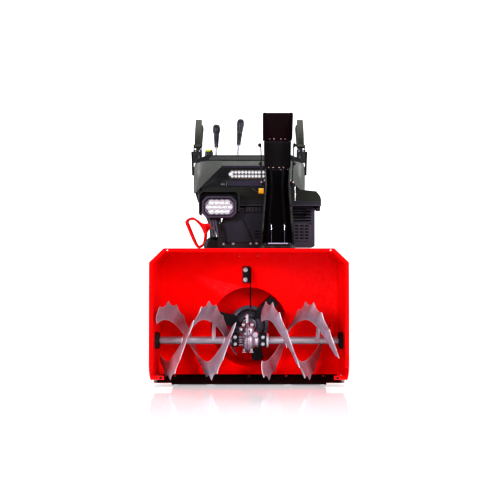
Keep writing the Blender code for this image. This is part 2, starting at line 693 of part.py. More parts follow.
def recoil_housing():
    x, z = -0.020, 0.625
    case = lathe("Y", (x, z), [(0.0, 0.8225), (0.110, 0.8225), (0.116, 0.830), (0.116, 0.866),
                               (0.098, 0.888), (0.0, 0.892)])
    spout = box(-0.150, -0.080, 0.846, 0.876, 0.640, 0.672)
    rope_way = rod("X", 0.861, 0.656, 0.005, -0.2, 0.068, 16)
    return finish("recoil_housing", cut(join(case, spout), rope_way), BLACK_PLASTIC)


def recoil_handle():
    """The pull handle: a closed hand loop on a stem, with the start of its rope inside the housing."""
    depth = 0.861
    outer = [(-0.318, 0.668), (-0.309, 0.694), (-0.288, 0.703), (-0.255, 0.692), (-0.222, 0.672),
             (-0.200, 0.668), (-0.193, 0.656), (-0.200, 0.644), (-0.212, 0.632), (-0.216, 0.600),
             (-0.236, 0.562), (-0.262, 0.552), (-0.282, 0.566), (-0.302, 0.612)]
    inner = [(-0.300, 0.668), (-0.294, 0.680), (-0.276, 0.684), (-0.250, 0.668), (-0.236, 0.640),
             (-0.234, 0.606), (-0.246, 0.578), (-0.260, 0.570), (-0.270, 0.582), (-0.288, 0.620)]
    loop = prism("Y", outer, depth - 0.009, depth + 0.009)
    loop = cut(loop, prism("Y", inner, depth - 0.02, depth + 0.02))
    stem = lathe("X", (depth, 0.656), [(0.0, -0.215), (0.013, -0.215), (0.011, -0.182), (0.007, -0.160),
                                       (0.003, -0.1585), (0.003, 0.060), (0.0, 0.060)], 16)
    return finish("recoil_handle", join(loop, stem), RED_PLASTIC, (-0.158, depth, 0.656))


def starter_motor():
    x, z = -0.160, 0.552
    motor = lathe("Y", (x, z), [(0.0, 0.560), (0.030, 0.560), (0.036, 0.566), (0.045, 0.568), (0.045, 0.640),
                                (0.040, 0.646), (0.040, 0.690), (0.0, 0.690)])
    foot = box(-0.150, -0.1105, 0.580, 0.680, 0.5005, 0.560)
    return finish("starter_motor", join(motor, foot), BLACK_PAINT)


def fuel_tank():
    tank = prism("Y", chamfered(-0.100, 0.120, 0.7440, 0.796, 0.014), 0.7945, 0.905)
    neck = rod("Z", 0.040, 0.855, 0.020, 0.79, 0.803, 24)
    filler = rod("Z", 0.040, 0.855, 0.016, 0.76, 0.83, 24)
    return finish("fuel_tank", cut(join(tank, neck), filler), BLACK_PLASTIC)


def fuel_cap():
    cap = lathe("Z", (0.040, 0.855), [(0.0, 0.775), (0.0145, 0.775), (0.0145, 0.8035), (0.031, 0.8035),
                                      (0.031, 0.818), (0.026, 0.824), (0.0, 0.824)], 24)
    return finish("fuel_cap", cap, BLACK_PLASTIC, (0.040, 0.855, 0.80))


def choke_knob():
    stem = lathe("X", (0.740, 0.520), [(0.0, 0.1185), (0.005, 0.1185), (0.005, 0.150), (0.0, 0.150)], 16)
    wing = box(0.148, 0.156, 0.733, 0.747, 0.503, 0.540)
    return finish("choke_knob", join(stem, wing), BLACK_PLASTIC, (0.15, 0.740, 0.520))


# Work lamp

def lamp_outline(half_x, half_z, corner):
    return chamfered(LAMP_X - half_x, LAMP_X + half_x, LAMP_Z - half_z, LAMP_Z + half_z, corner)


def lamp_bracket():
    """The lamp's post, yoke and visor, standing on the frame's front plate."""
    outer, inner = 0.0880, 0.0820
    front, back = LAMP_DEPTH - 0.028, LAMP_DEPTH + 0.027
    top = LAMP_Z + 0.0685
    visor = prism("Y", [(LAMP_X - outer, LAMP_Z - 0.020), (LAMP_X - inner, LAMP_Z - 0.020),
                        (LAMP_X - inner, top - 0.030), (LAMP_X - inner + 0.012, top - 0.005),
                        (LAMP_X + inner - 0.012, top - 0.005), (LAMP_X + inner, top - 0.030),
                        (LAMP_X + inner, LAMP_Z - 0.020), (LAMP_X + outer, LAMP_Z - 0.020),
                        (LAMP_X + outer, top - 0.028), (LAMP_X + outer - 0.015, top),
                        (LAMP_X - outer + 0.015, top), (LAMP_X - outer, top - 0.028)], front, back)
    plate = box(LAMP_X - 0.083, LAMP_X + 0.083, back - 0.004, back, LAMP_Z - 0.020, top - 0.002)
    post = prism("Y", [(-0.188, LAMP_Z - 0.005), (-0.126, LAMP_Z - 0.005), (-0.122, 0.640), (-0.119, 0.560),
                       (-0.119, 0.360), (-0.136, 0.360), (-0.138, 0.600), (-0.170, 0.650)], back - 0.009, back - 0.001)
    foot = box(-0.136, -0.119, 0.4626, back - 0.004, 0.360, 0.425)
    pins = [rod("X", LAMP_DEPTH, LAMP_Z, 0.004, LAMP_X - inner - 0.001, LAMP_X - 0.0785, 12),
            rod("X", LAMP_DEPTH, LAMP_Z, 0.004, LAMP_X + 0.0785, LAMP_X + inner + 0.001, 12)]
    return finish("lamp_bracket", join(visor, plate, post, foot, *pins), BLACK_PAINT, smooth=False)


def lamp_housing():
    front, back = LAMP_DEPTH - 0.027, LAMP_DEPTH + 0.006
    shell = prism("Y", lamp_outline(0.0762, 0.0484, 0.0215), front, front + 0.020)
    rear = prism("Y", lamp_outline(0.0640, 0.0380, 0.018), front + 0.019, back)
    ears = rod("X", LAMP_DEPTH, LAMP_Z, 0.009, LAMP_X - 0.0775, LAMP_X + 0.0775, 16)
    recess = prism("Y", lamp_outline(0.0625, 0.0340, 0.016), front - 0.01, front + 0.014)
    return finish("lamp_housing", cut(join(shell, rear, ears), recess), BLACK_PLASTIC,
                  (LAMP_X, LAMP_DEPTH, LAMP_Z), False)


def lamp_lens():
    front = LAMP_DEPTH - 0.024
    lens = prism("Y", lamp_outline(0.0617, 0.0332, 0.0155), front, front + 0.0105)
    return finish("lamp_lens", lens, LENS, (LAMP_X, LAMP_DEPTH, LAMP_Z), False)


# Chute and deflectors

def channel_loop(z, half, front, back, flange):
    """A U-shaped section, open towards the front, with thin flanges along its two edges."""
    corner = min(half, 0.034)
    outer = [(-half, front + SHEET), (-half - flange, front + SHEET), (-half - flange, front)][::-1]
    inner = [(-half + SHEET, front)]
    for i in range(5):
        turn = pi - (pi / 2) * i / 4
        small = corner - SHEET
        outer.append((-half + corner + corner * cos(turn), back - corner + corner * sin(turn)))
        inner.append((-half + corner + small * cos(turn), back - corner + small * sin(turn)))
    outer += [(-x, y) for x, y in outer[::-1]]
    inner += [(-x, y) for x, y in inner[::-1]]
    return [(CHUTE_X + x, CHUTE_DEPTH + y, z) for x, y in outer + inner[::-1]]


def chute():
    """The swivelling chute channel on its round base."""
    base_z = COLLAR_Z + 0.017
    stations = [(base_z, 0.0665, -0.030, 0.0620), (0.620, 0.0615, -0.040, 0.0560), (0.720, 0.0545, -0.044, 0.0500),
                (0.810, 0.0480, -0.046, 0.0440), (CHUTE_TOP, 0.0520, -0.046, 0.0400)]
    channel = loft([channel_loop(z, half, front, back, 0.0004 if z == CHUTE_TOP else 0.0045)
                    for z, half, front, back in stations])
    ring = lathe("Z", (CHUTE_X, CHUTE_DEPTH), [
        (CHUTE_RADIUS - SHEET, base_z - 0.002), (0.0755, base_z - 0.002), (0.0755, base_z + 0.006),
        (CHUTE_RADIUS - SHEET, base_z + 0.006)], 32)
    front_plate = arc_strip("Z", CHUTE_X, CHUTE_DEPTH, CHUTE_RADIUS - SHEET, CHUTE_RADIUS, radians(200),
                            radians(140), base_z, base_z + 0.012, 14)
    return finish("chute", join(channel, ring, front_plate), BLACK_PAINT, (CHUTE_X, CHUTE_DEPTH, COLLAR_Z))


def chute_collar():
    """The fixed ring that the chute turns on, resting on the duct."""
    ring = lathe("Z", (CHUTE_X, CHUTE_DEPTH), [
        (CHUTE_RADIUS - SHEET, COLLAR_Z), (0.0780, COLLAR_Z), (0.0780, COLLAR_Z + 0.0145),
        (CHUTE_RADIUS - SHEET, COLLAR_Z + 0.0145)], 32)
    return finish("chute_collar", ring, BLACK_PLASTIC)


def chute_guard():
    """A bright wire guard across the foot of the chute's open side."""
    depth = CHUTE_DEPTH - 0.0775
    foot = COLLAR_Z + 0.0235
    uprights = []
    for side in (-1, 1):
        x = CHUTE_X + side * 0.027
        uprights.append(tube([(x, depth, foot), (x, depth, 0.632), (x, depth + 0.006, 0.640),
                              (x, depth + 0.020, 0.641)], 0.002, 1))
    bar = tube([(CHUTE_X - 0.041, depth, foot + 0.002), (CHUTE_X + 0.041, depth, foot + 0.002)], 0.0026, 1)
    return finish("chute_guard", join(bar, *uprights), ZINC, (CHUTE_X, CHUTE_DEPTH, COLLAR_Z))


def deflector_panel(low, high, half_low, half_high, back_low, back_high, front_low, front_high):
    """A U-shaped deflector stage between two heights."""
    sections = []
    for z, half, back, front in ((low, half_low, back_low, front_low), (high, half_high, back_high, front_high)):
        wall = 0.0025
        outer = [(-half, front), (-half, back), (half, back), (half, front)]
        inner = [(half - wall, front), (half - wall, back - wall), (-half + wall, back - wall),
                 (-half + wall, front)]
        sections.append([(CHUTE_X + x, CHUTE_DEPTH + y, z) for x, y in outer + inner])
    return loft(sections)


LOWER_HINGE = (CHUTE_X, CHUTE_DEPTH + 0.0430, CHUTE_TOP + 0.005)
UPPER_HINGE = (CHUTE_X, CHUTE_DEPTH + 0.0160, 0.998)


def deflector_lower():
    panel = deflector_panel(0.8845, 0.995, 0.0555, 0.0568, 0.0415, 0.0150, -0.030, -0.050)
    knuckle = rod("X", LOWER_HINGE[1], LOWER_HINGE[2], 0.004, CHUTE_X - 0.045, CHUTE_X + 0.045, 12)
    return finish("deflector_lower", join(panel, knuckle), BLACK_PLASTIC, LOWER_HINGE, False)


def deflector_upper():
    panel = deflector_panel(1.002, 1.104, 0.0618, 0.0632, 0.0135, -0.070, -0.052, -0.080)
    knuckle = rod("X", UPPER_HINGE[1], UPPER_HINGE[2] + 0.0035, 0.0035, CHUTE_X - 0.045, CHUTE_X + 0.045, 12)
    return finish("deflector_upper", join(panel, knuckle), BLACK_PLASTIC, UPPER_HINGE, False)


LINK_PIVOT = (CHUTE_X, CHUTE_DEPTH + 0.0, 0.822)


def deflector_links():
    """Both side links, joined behind the chute by a cross bar."""
    links = []
    for side in (-1, 1):
        x = CHUTE_X + side * 0.0675
        bar = box(x - 0.002, x + 0.002, CHUTE_DEPTH - 0.006, CHUTE_DEPTH + 0.006, 0.812, 0.990)
        knob = rod("X", CHUTE_DEPTH, 0.981, 0.009, *sorted((x, x + side * 0.013)), 12)
        foot = box(x - 0.002, x + 0.002, CHUTE_DEPTH - 0.006, CHUTE_DEPTH + 0.056, 0.812, 0.826)
        links += [bar, knob, foot]
    cross = box(CHUTE_X - 0.0695, CHUTE_X + 0.0695, CHUTE_DEPTH + 0.052, CHUTE_DEPTH + 0.056, 0.812, 0.826)
    return finish("deflector_links", join(cross, *links), BLACK_PAINT, LINK_PIVOT, False)


def deflector_cable():
    """The deflector's cable, held along the chute's right side down to its ring."""
    route = [(CHUTE_X + 0.0560, CHUTE_DEPTH + 0.030, 0.806), (CHUTE_X + 0.0610, CHUTE_DEPTH + 0.033, 0.76),
             (CHUTE_X + 0.0655, CHUTE_DEPTH + 0.036, 0.70), (CHUTE_X + 0.0705, CHUTE_DEPTH + 0.038, 0.64),
             (CHUTE_X + 0.0720, CHUTE_DEPTH + 0.034, 0.600), (CHUTE_X + 0.0720, CHUTE_DEPTH + 0.028, 0.5590)]
    return finish("deflector_cable", tube(route, 0.003, 2, 0.022), RUBBER, (CHUTE_X, CHUTE_DEPTH, COLLAR_Z))


# Handlebar and controls

def handle_route(side):
    return [(side * 0.1865, 0.800, 0.320), (side * 0.1865, 0.872, 0.480), (side * 0.1900, 0.906, 0.660),
            (side * 0.2450, 0.930, 0.790), (side * 0.2560, 1.010, 0.930), (side * 0.2700, 1.105, 1.045),
            (side * GRIP_X, 1.165, 1.102), (side * GRIP_X, 1.290, 1.231)]


def handlebar():
    """Both handle tubes, their cross tube, and the lever brackets with their pins."""
    sides = []
    for side in (-1, 1):
        sides.append(tube(handle_route(side), 0.0120, 2, 0.060))
        sides.append(box(*sorted((side * 0.1705, side * 0.180)), 0.785, 0.845, 0.315, 0.395))
        sides.append(box(*sorted((side * 0.253, side * 0.297)), 1.100, 1.140, 1.010, 1.078))
        for x in (0.2535, 0.2935):
            sides.append(box(*sorted((side * x, side * (x + 0.003))), 1.1015, 1.1225, 1.070, 1.106))
        sides.append(rod("X", *LEVER_PIVOT, 0.004, *sorted((side * 0.255, side * 0.295)), 10))
        sides.append(rod("X", *TRIGGER_PIVOT, 0.003, *sorted((side * 0.296, side * 0.3105)), 10))
    cross = rod("X", 0.930, 0.787, 0.0105, -0.243, 0.243, 12)
    return finish("handlebar", join(sides[0], *sides[1:], cross), BLACK_PAINT)


GRIP_DIRECTION = Vector((0, 0.130, 0.134)).normalized()


def grip(side):
    base = Vector((side * GRIP_X, 1.172, 1.1092))
    body = lathe("Z", (0, 0), [(0.0128, 0.0), (0.0215, 0.0), (0.0220, 0.008), (0.0205, 0.030), (0.0200, 0.120),
                               (0.0195, 0.165), (0.0150, 0.188), (0.0, 0.190), (0.0, 0.186), (0.0128, 0.186)], 16)
    lean = Z_AXIS.rotation_difference(GRIP_DIRECTION).to_matrix().to_4x4()
    body.data.transform(Matrix.Translation(base) @ lean)
    return finish("grip_right" if side > 0 else "grip_left", body, GRIP_RUBBER)


def clutch_lever(side, name):
    """A paddle in front of the grip, hinged on the lever bracket; pressing turns it onto the grip."""
    x = side * GRIP_X
    pivot_d, pivot_z = LEVER_PIVOT
    eye = rod("X", pivot_d, pivot_z, 0.010, x - 0.0175, x + 0.0175, 16)
    outline = [(pivot_d - 0.007, pivot_z + 0.003), (pivot_d + 0.006, pivot_z - 0.003), (1.142, 1.162),
               (1.204, 1.244), (1.202, 1.254), (1.190, 1.256), (1.130, 1.172)]
    paddle = prism("X", outline, x - 0.0165, x + 0.0165)
    lever = cut(join(eye, paddle), rod("X", pivot_d, pivot_z, 0.0048, x - 0.05, x + 0.05, 12))
    return finish(name, lever, BLACK_PLASTIC, (x, pivot_d, pivot_z))


def steering_trigger(side):
    x = side * 0.304
    depth, z = TRIGGER_PIVOT
    outline = [(1.1120, 1.060), (1.1260, 1.068), (1.150, 1.040), (1.165, 0.985), (1.172, 0.950), (1.163, 0.948),
               (1.150, 0.985), (1.134, 1.030)]
    body = prism("X", outline, x - 0.005, x + 0.005)
    eye = rod("X", depth, z, 0.009, x - 0.005, x + 0.005, 12)
    name = "steering_trigger_right" if side > 0 else "steering_trigger_left"
    trigger = cut(join(body, eye), rod("X", depth, z, 0.0036, x - 0.02, x + 0.02, 12))
    return finish(name, trigger, BLACK_PAINT, (x, depth, z), False)


def dash_console():
    """The control panel across the handlebar, open at its back."""
    outline = [(-0.232, 0.735), (-0.150, 0.800), (0.150, 0.800), (0.232, 0.735), (0.262, 0.790), (CONSOLE_HALF, 0.860),
               (CONSOLE_HALF, 0.960), (0.262, 1.005), (0.215, 1.025), (-0.215, 1.025), (-0.262, 1.005),
               (-CONSOLE_HALF, 0.960), (-CONSOLE_HALF, 0.860), (-0.262, 0.790)]
    front, back = 0.950, 1.080
    panel = prism("Y", outline, front, back)
    hollow = [(-0.150, 0.804), (0.150, 0.804), (0.210, 0.800), (0.258, 0.815), (CONSOLE_HALF - 0.004, 0.862),
              (CONSOLE_HALF - 0.004, 0.959), (0.259, 1.002), (0.214, 1.021), (-0.214, 1.021), (-0.259, 1.002),
              (-CONSOLE_HALF + 0.004, 0.959), (-CONSOLE_HALF + 0.004, 0.862), (-0.258, 0.815), (-0.210, 0.800)]
    panel = cut(panel, prism("Y", hollow, front + 0.004, 1.1))
    recess = prism("Y", chamfered(-0.103, 0.103, 0.905, 0.950, 0.010), 0.94, 0.957)
    recess_back = prism("Y", chamfered(-0.107, 0.107, 0.901, 0.954, 0.010), 0.952, 0.961)
    panel = cut(join(panel, recess_back), recess)
    slots = [box(x - 0.006, x + 0.006, 0.975, 1.035, 1.0, 1.05) for x in (-0.170,)]
    joy = rod("Z", -0.064, 1.005, 0.019, 1.0, 1.05, 20)
    knob = rod("Z", -0.208, 1.000, 0.0065, 1.0, 1.05, 16)
    windows = [tube(handle_route(side), 0.0140, 2, 0.060) for side in (-1, 1)]
    panel = cut(panel, joy, knob, *slots, *windows)
    return finish("dash_console", panel, COVER_PLASTIC, smooth=False)


def dash_light_lens():
    lens = prism("Y", chamfered(-0.1025, 0.1025, 0.9055, 0.9495, 0.0098), 0.950, 0.9565)
    return finish("dash_light_lens", lens, LENS, smooth=False)


def stick(x, depth, low, bend, top, radius, head, lean_x=0.0):
    """A control stick: a steel rod with a moulded knob."""
    rod_part = lathe("Z", (0, 0), [(0.0, low), (radius, low), (radius, bend), (0.0, bend)], 8)
    knob = lathe("Z", (0, 0), [(0.0, bend - 0.004), (head * 0.54, bend - 0.004), (head * 0.56, bend + 0.03),
                               (head * 0.74, bend + 0.062), (head, top - 0.028), (head * 0.84, top - 0.007),
                               (head * 0.35, top), (0.0, top)], 12)
    piece = join(rod_part, knob)
    piece.data.transform(Matrix.Translation((x, depth, 0)) @ Matrix.Rotation(radians(lean_x), 4, Y_AXIS))
    return piece


SHIFT_PIVOT = (-0.170, 1.005, 0.960)
JOYSTICK_PIVOT = (-0.064, 1.005, 0.985)


def shift_lever():
    lever = stick(0, 0, 0.0, 0.118, 0.232, 0.0045, 0.0195)
    lever.data.transform(Matrix.Translation(SHIFT_PIVOT))
    eye = rod("X", SHIFT_PIVOT[1], SHIFT_PIVOT[2], 0.009, SHIFT_PIVOT[0] - 0.004, SHIFT_PIVOT[0] + 0.004, 12)
    return finish("shift_lever", join(lever, eye), BLACK_PLASTIC, SHIFT_PIVOT)


def joystick():
    lever = stick(0, 0, 0.0, 0.106, 0.236, 0.0045, 0.0190, 5.0)
    lever.data.transform(Matrix.Translation(JOYSTICK_PIVOT))
    ball = lathe("Z", JOYSTICK_PIVOT[:2], [(0.0, 0.975), (0.009, 0.978), (0.012, 0.985), (0.009, 0.994), (0.0, 0.997)], 12)
    return finish("joystick", join(lever, ball), BLACK_PLASTIC, JOYSTICK_PIVOT)


def throttle_knob():
    knob = lathe("Z", (-0.208, 1.000), [(0.0, 0.985), (0.006, 0.985), (0.006, 1.0255), (0.021, 1.0255),
                                        (0.0215, 1.045), (0.017, 1.058), (0.0, 1.061)], 20)
    pointer = box(-0.211, -0.205, 0.976, 1.000, 1.027, 1.046)
    return finish("throttle_knob", join(knob, pointer), YELLOW, (-0.208, 1.000, 1.03))


def clutch_cable(side, name):
    """A clutch cable along a handle tube, from its lever bracket to the frame."""
    route = [(side * 0.2492, 1.1160, 1.030), (side * 0.2350, 1.1040, 0.990), (side * 0.2150, 1.0980, 0.900),
             (side * 0.2080, 1.0960, 0.800), (side * 0.1950, 1.0600, 0.700), (side * 0.1700, 0.9700, 0.640),
             (side * 0.1550, 0.9300, 0.580), (side * 0.1500, 0.9080, 0.500), (side * 0.1450, 0.9045, 0.400),
             (side * 0.1400, 0.9045, 0.330)]
    return finish(name, tube(route, 0.0030, 2, 0.055), RUBBER)


# Assembly
auger_housing()
impeller_housing()
scraper_bar()
gearbox_strut()
auger_shaft()
worm_wheel()
impeller_shaft()
impeller()
pulley("auger_pulley", IMPELLER_Z, 0.087, DRIVE_RADIUS + GAP)
crank_pulley()
auger_belt()
tractor_frame()
drive_disc()
friction_wheel()
belt_cover()
engine_block()
engine_hood()
muffler_guard()
recoil_housing()
recoil_handle()
starter_motor()
fuel_tank()
fuel_cap()
choke_knob()
lamp_bracket()
lamp_housing()
lamp_lens()
chute()
chute_collar()
chute_guard()
deflector_lower()
deflector_upper()
deflector_links()
deflector_cable()
handlebar()
dash_console()
dash_light_lens()
shift_lever()
joystick()
throttle_knob()
clutch_lever(-1, "drive_clutch_lever")
clutch_lever(1, "auger_clutch_lever")
clutch_cable(-1, "drive_cable")
clutch_cable(1, "auger_cable")
for each_side in (-1, 1):
    skid_shoe(each_side)
    auger_bearing(each_side)
    gearbox_half(each_side)
    auger_flight(each_side)
    rim(each_side)
    tyre(each_side)
    grip(each_side)
    steering_trigger(each_side)
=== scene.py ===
"""Looks of a two-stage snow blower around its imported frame.

Places are given as x, depth and z in metres: depth runs back from the intake's front edge,
so the point for (x, depth, z) is (x, FRONT + depth, z) in the frame's own axes.
"""

import json
from math import ceil, cos, pi, radians, sin, sqrt

import bmesh
import bpy
from mathutils import Matrix, Vector


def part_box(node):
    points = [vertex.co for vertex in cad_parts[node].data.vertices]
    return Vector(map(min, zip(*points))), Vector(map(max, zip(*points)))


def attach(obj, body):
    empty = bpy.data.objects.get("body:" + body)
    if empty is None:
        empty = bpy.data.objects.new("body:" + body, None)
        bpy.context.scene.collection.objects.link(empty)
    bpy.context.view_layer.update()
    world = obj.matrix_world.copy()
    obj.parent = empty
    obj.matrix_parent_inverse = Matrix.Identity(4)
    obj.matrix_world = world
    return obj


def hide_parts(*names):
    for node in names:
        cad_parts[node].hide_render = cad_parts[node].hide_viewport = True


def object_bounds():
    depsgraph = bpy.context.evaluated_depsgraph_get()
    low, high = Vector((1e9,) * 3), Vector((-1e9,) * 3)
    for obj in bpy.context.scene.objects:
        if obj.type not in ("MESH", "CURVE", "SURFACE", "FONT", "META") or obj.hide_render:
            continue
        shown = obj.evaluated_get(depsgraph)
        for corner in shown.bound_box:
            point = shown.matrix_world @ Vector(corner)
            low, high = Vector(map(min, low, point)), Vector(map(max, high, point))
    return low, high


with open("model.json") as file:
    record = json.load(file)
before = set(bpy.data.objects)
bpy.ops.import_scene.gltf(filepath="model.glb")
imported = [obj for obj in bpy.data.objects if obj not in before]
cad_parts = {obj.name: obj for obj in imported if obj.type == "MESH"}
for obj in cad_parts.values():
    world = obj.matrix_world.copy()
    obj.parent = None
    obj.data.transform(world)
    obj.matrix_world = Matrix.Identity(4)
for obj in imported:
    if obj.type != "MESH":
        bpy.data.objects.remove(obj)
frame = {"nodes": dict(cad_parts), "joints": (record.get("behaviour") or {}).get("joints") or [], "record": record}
CAD_BOX = [list(corner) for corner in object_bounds()]
NODES = frame["nodes"]
BODIES = frame["record"]["behaviour"]["bodies"]
BODY_OF = {node: body for body, members in BODIES.items() for node in members}
SLOT_OF = {row["node"]: row["material_slot"] for row in frame["record"]["subparts"]}
FRONT = CAD_BOX[0][1]

LEFT, RIGHT = -1, 1
SIDE_NAMES = {LEFT: "left", RIGHT: "right"}
DONE = set()
X_AXIS, Y_AXIS, Z_AXIS = Vector((1, 0, 0)), Vector((0, 1, 0)), Vector((0, 0, 1))


def edges_of(node):
    """Lowest and highest x, depth and z of a CAD node."""
    low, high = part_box(node)
    return low.x, high.x, low.y - FRONT, high.y - FRONT, low.z, high.z


# Materials

class Nodes:
    """A short way to add shader nodes and link them."""

    def __init__(self, name):
        self.material = bpy.data.materials.new(name)
        self.material.use_nodes = True
        self.tree = self.material.node_tree
        self.shader = self.tree.nodes["Principled BSDF"]
        self.place = self.add("ShaderNodeTexCoord").outputs["Object"]

    def add(self, kind, **values):
        """A new node; each value goes to its property or its input of that name."""
        node = self.tree.nodes.new(kind)
        for key, value in values.items():
            if hasattr(node, key):
                setattr(node, key, value)
            else:
                node.inputs[key].default_value = value
        return node

    def link(self, source, target):
        self.tree.links.new(source, target)

    def noise(self, scale, detail=3.0, roughness=0.55, stretch=None):
        place = self.place
        if stretch:
            mapping = self.add("ShaderNodeMapping")
            mapping.inputs["Scale"].default_value = stretch
            self.link(place, mapping.inputs["Vector"])
            place = mapping.outputs["Vector"]
        node = self.add("ShaderNodeTexNoise", Scale=scale, Detail=detail, Roughness=roughness)
        self.link(place, node.inputs["Vector"])
        return node.outputs["Fac"]

    def cells(self, scale, feature="F1", output="Distance"):
        node = self.add("ShaderNodeTexVoronoi", feature=feature, Scale=scale)
        self.link(self.place, node.inputs["Vector"])
        return node.outputs[output]

    def spread(self, value, low, high, from_low=0.3, from_high=0.7):
        """A value between from_low and from_high carried over to low and high."""
        node = self.add("ShaderNodeMapRange")
        for name, number in (("From Min", from_low), ("From Max", from_high), ("To Min", low),
                ("To Max", high)):
            node.inputs[name].default_value = number
        self.link(value, node.inputs["Value"])
        return node.outputs["Result"]

    def blend(self, share, first, second):
        """Two colours, or a socket and a colour, mixed by share."""
        node = self.add("ShaderNodeMix", data_type="RGBA")
        self.link(share, node.inputs[0])
        for socket, colour in ((node.inputs[6], first), (node.inputs[7], second)):
            if isinstance(colour, tuple):
                socket.default_value = (*colour, 1.0)
            else:
                self.link(colour, socket)
        return node.outputs[2]

    def worn(self, low=0.53, high=0.62):
        """How much a place is an outer edge; this drives the painted edge highlight, mixed with wear."""
        return self.spread(self.add("ShaderNodeNewGeometry").outputs["Pointiness"], 0.0, 1.0, low, high)

    def times(self, first, second):
        node = self.add("ShaderNodeMath", operation="MULTIPLY")
        for socket, value in zip(node.inputs, (first, second)):
            if isinstance(value, float):
                socket.default_value = value
            else:
                self.link(value, socket)
        return node.outputs[0]

    def bump(self, height, strength, distance=0.0005):
        node = self.add("ShaderNodeBump")
        node.inputs["Strength"].default_value = strength
        node.inputs["Distance"].default_value = distance
        self.link(height, node.inputs["Height"])
        self.link(node.outputs["Normal"], self.shader.inputs["Normal"])


def shade(colour, factor):
    """A colour made lighter or darker."""
    return tuple(min(1.0, channel * factor) for channel in colour)


def surface(name, colour, rough, metallic=0.0, patch=0.12, grain=900.0, relief=0.1, edge=None, edge_sheen_and_wear_amount=0.5,
        coat=0.0, dust=0.0, gleam=0.5):
    """A finish with patches of tone, fine grain, uneven gloss and lighter edges, which are a painted edge
    highlight mixed with patchy wear.
    """
    nodes = Nodes(name)
    shader = nodes.shader
    shader.inputs["Metallic"].default_value = metallic
    shader.inputs["Specular IOR Level"].default_value = gleam
    if coat:
        shader.inputs["Coat Weight"].default_value = coat
        shader.inputs["Coat Roughness"].default_value = 0.08
    broad = nodes.noise(9.0, 4.0)
    tone = nodes.blend(nodes.spread(broad, 0.0, 1.0), shade(colour, 1.0 - patch),
        shade(colour, 1.0 + patch))
    if dust:
        speckle = nodes.times(nodes.spread(nodes.noise(140.0, 6.0), 0.0, 1.0, 0.55, 0.8), dust)
        tone = nodes.blend(speckle, tone, (0.5, 0.5, 0.52))
    # The edge colour is a painted edge highlight, mixed with patchy wear.
    if edge:
        edge_sheen_and_wear = nodes.times(nodes.times(nodes.worn(), nodes.spread(nodes.noise(60.0, 5.0), 0.2, 1.0)),
            edge_sheen_and_wear_amount)
        tone = nodes.blend(edge_sheen_and_wear, tone, edge)
    nodes.link(tone, shader.inputs["Base Color"])
    gloss = nodes.noise(35.0, 5.0)
    nodes.link(nodes.spread(gloss, rough[0], rough[1]), shader.inputs["Roughness"])
    nodes.bump(nodes.noise(grain, 2.0), relief)
    return nodes.material


def galvanised(name, colour, rough):
    """Zinc-dipped steel: crystal patches, fine scratches and bright edges, which are a painted edge highlight
    mixed with wear.
    """
    nodes = Nodes(name)
    shader = nodes.shader
    shader.inputs["Metallic"].default_value = 0.6
    crystals = nodes.spread(nodes.cells(85.0, output="Color"), 0.0, 1.0, 0.1, 0.9)
    clouds = nodes.spread(nodes.noise(14.0, 5.0), 0.0, 1.0, 0.35, 0.65)
    tone = nodes.blend(crystals, shade(colour, 0.93), shade(colour, 1.07))
    tone = nodes.blend(nodes.times(clouds, 0.45), tone, shade(colour, 0.72))
    # Bright edges: a painted edge highlight, mixed with wear.
    edge = nodes.times(nodes.worn(0.515, 0.57), 0.4)
    tone = nodes.blend(edge, tone, (0.7, 0.68, 0.72))
    nodes.link(tone, shader.inputs["Base Color"])
    nodes.link(nodes.spread(nodes.noise(45.0, 6.0), rough[0], rough[1]), shader.inputs["Roughness"])
    nodes.bump(nodes.noise(260.0, 5.0, 0.6, (1.0, 1.0, 0.25)), 0.25)
    return nodes.material


def glow_painted(name, colour, strength, rough=0.2):
    """A clear moulding with a painted glow: its emission stands in for the bright look of the lamp's cups, cores
    and lens.
    """
    nodes = Nodes(name)
    shader = nodes.shader
    tone = nodes.blend(nodes.spread(nodes.noise(220.0, 3.0), 0.0, 1.0), shade(colour, 0.88), colour)
    nodes.link(tone, shader.inputs["Base Color"])
    shader.inputs["Roughness"].default_value = rough
    shader.inputs["Coat Weight"].default_value = 0.6
    # Painted glow that stands in for the bright look of the moulding.
    shader.inputs["Emission Color"].default_value = (*colour, 1.0)
    shader.inputs["Emission Strength"].default_value = strength
    nodes.bump(nodes.noise(500.0, 2.0), 0.06)
    return nodes.material


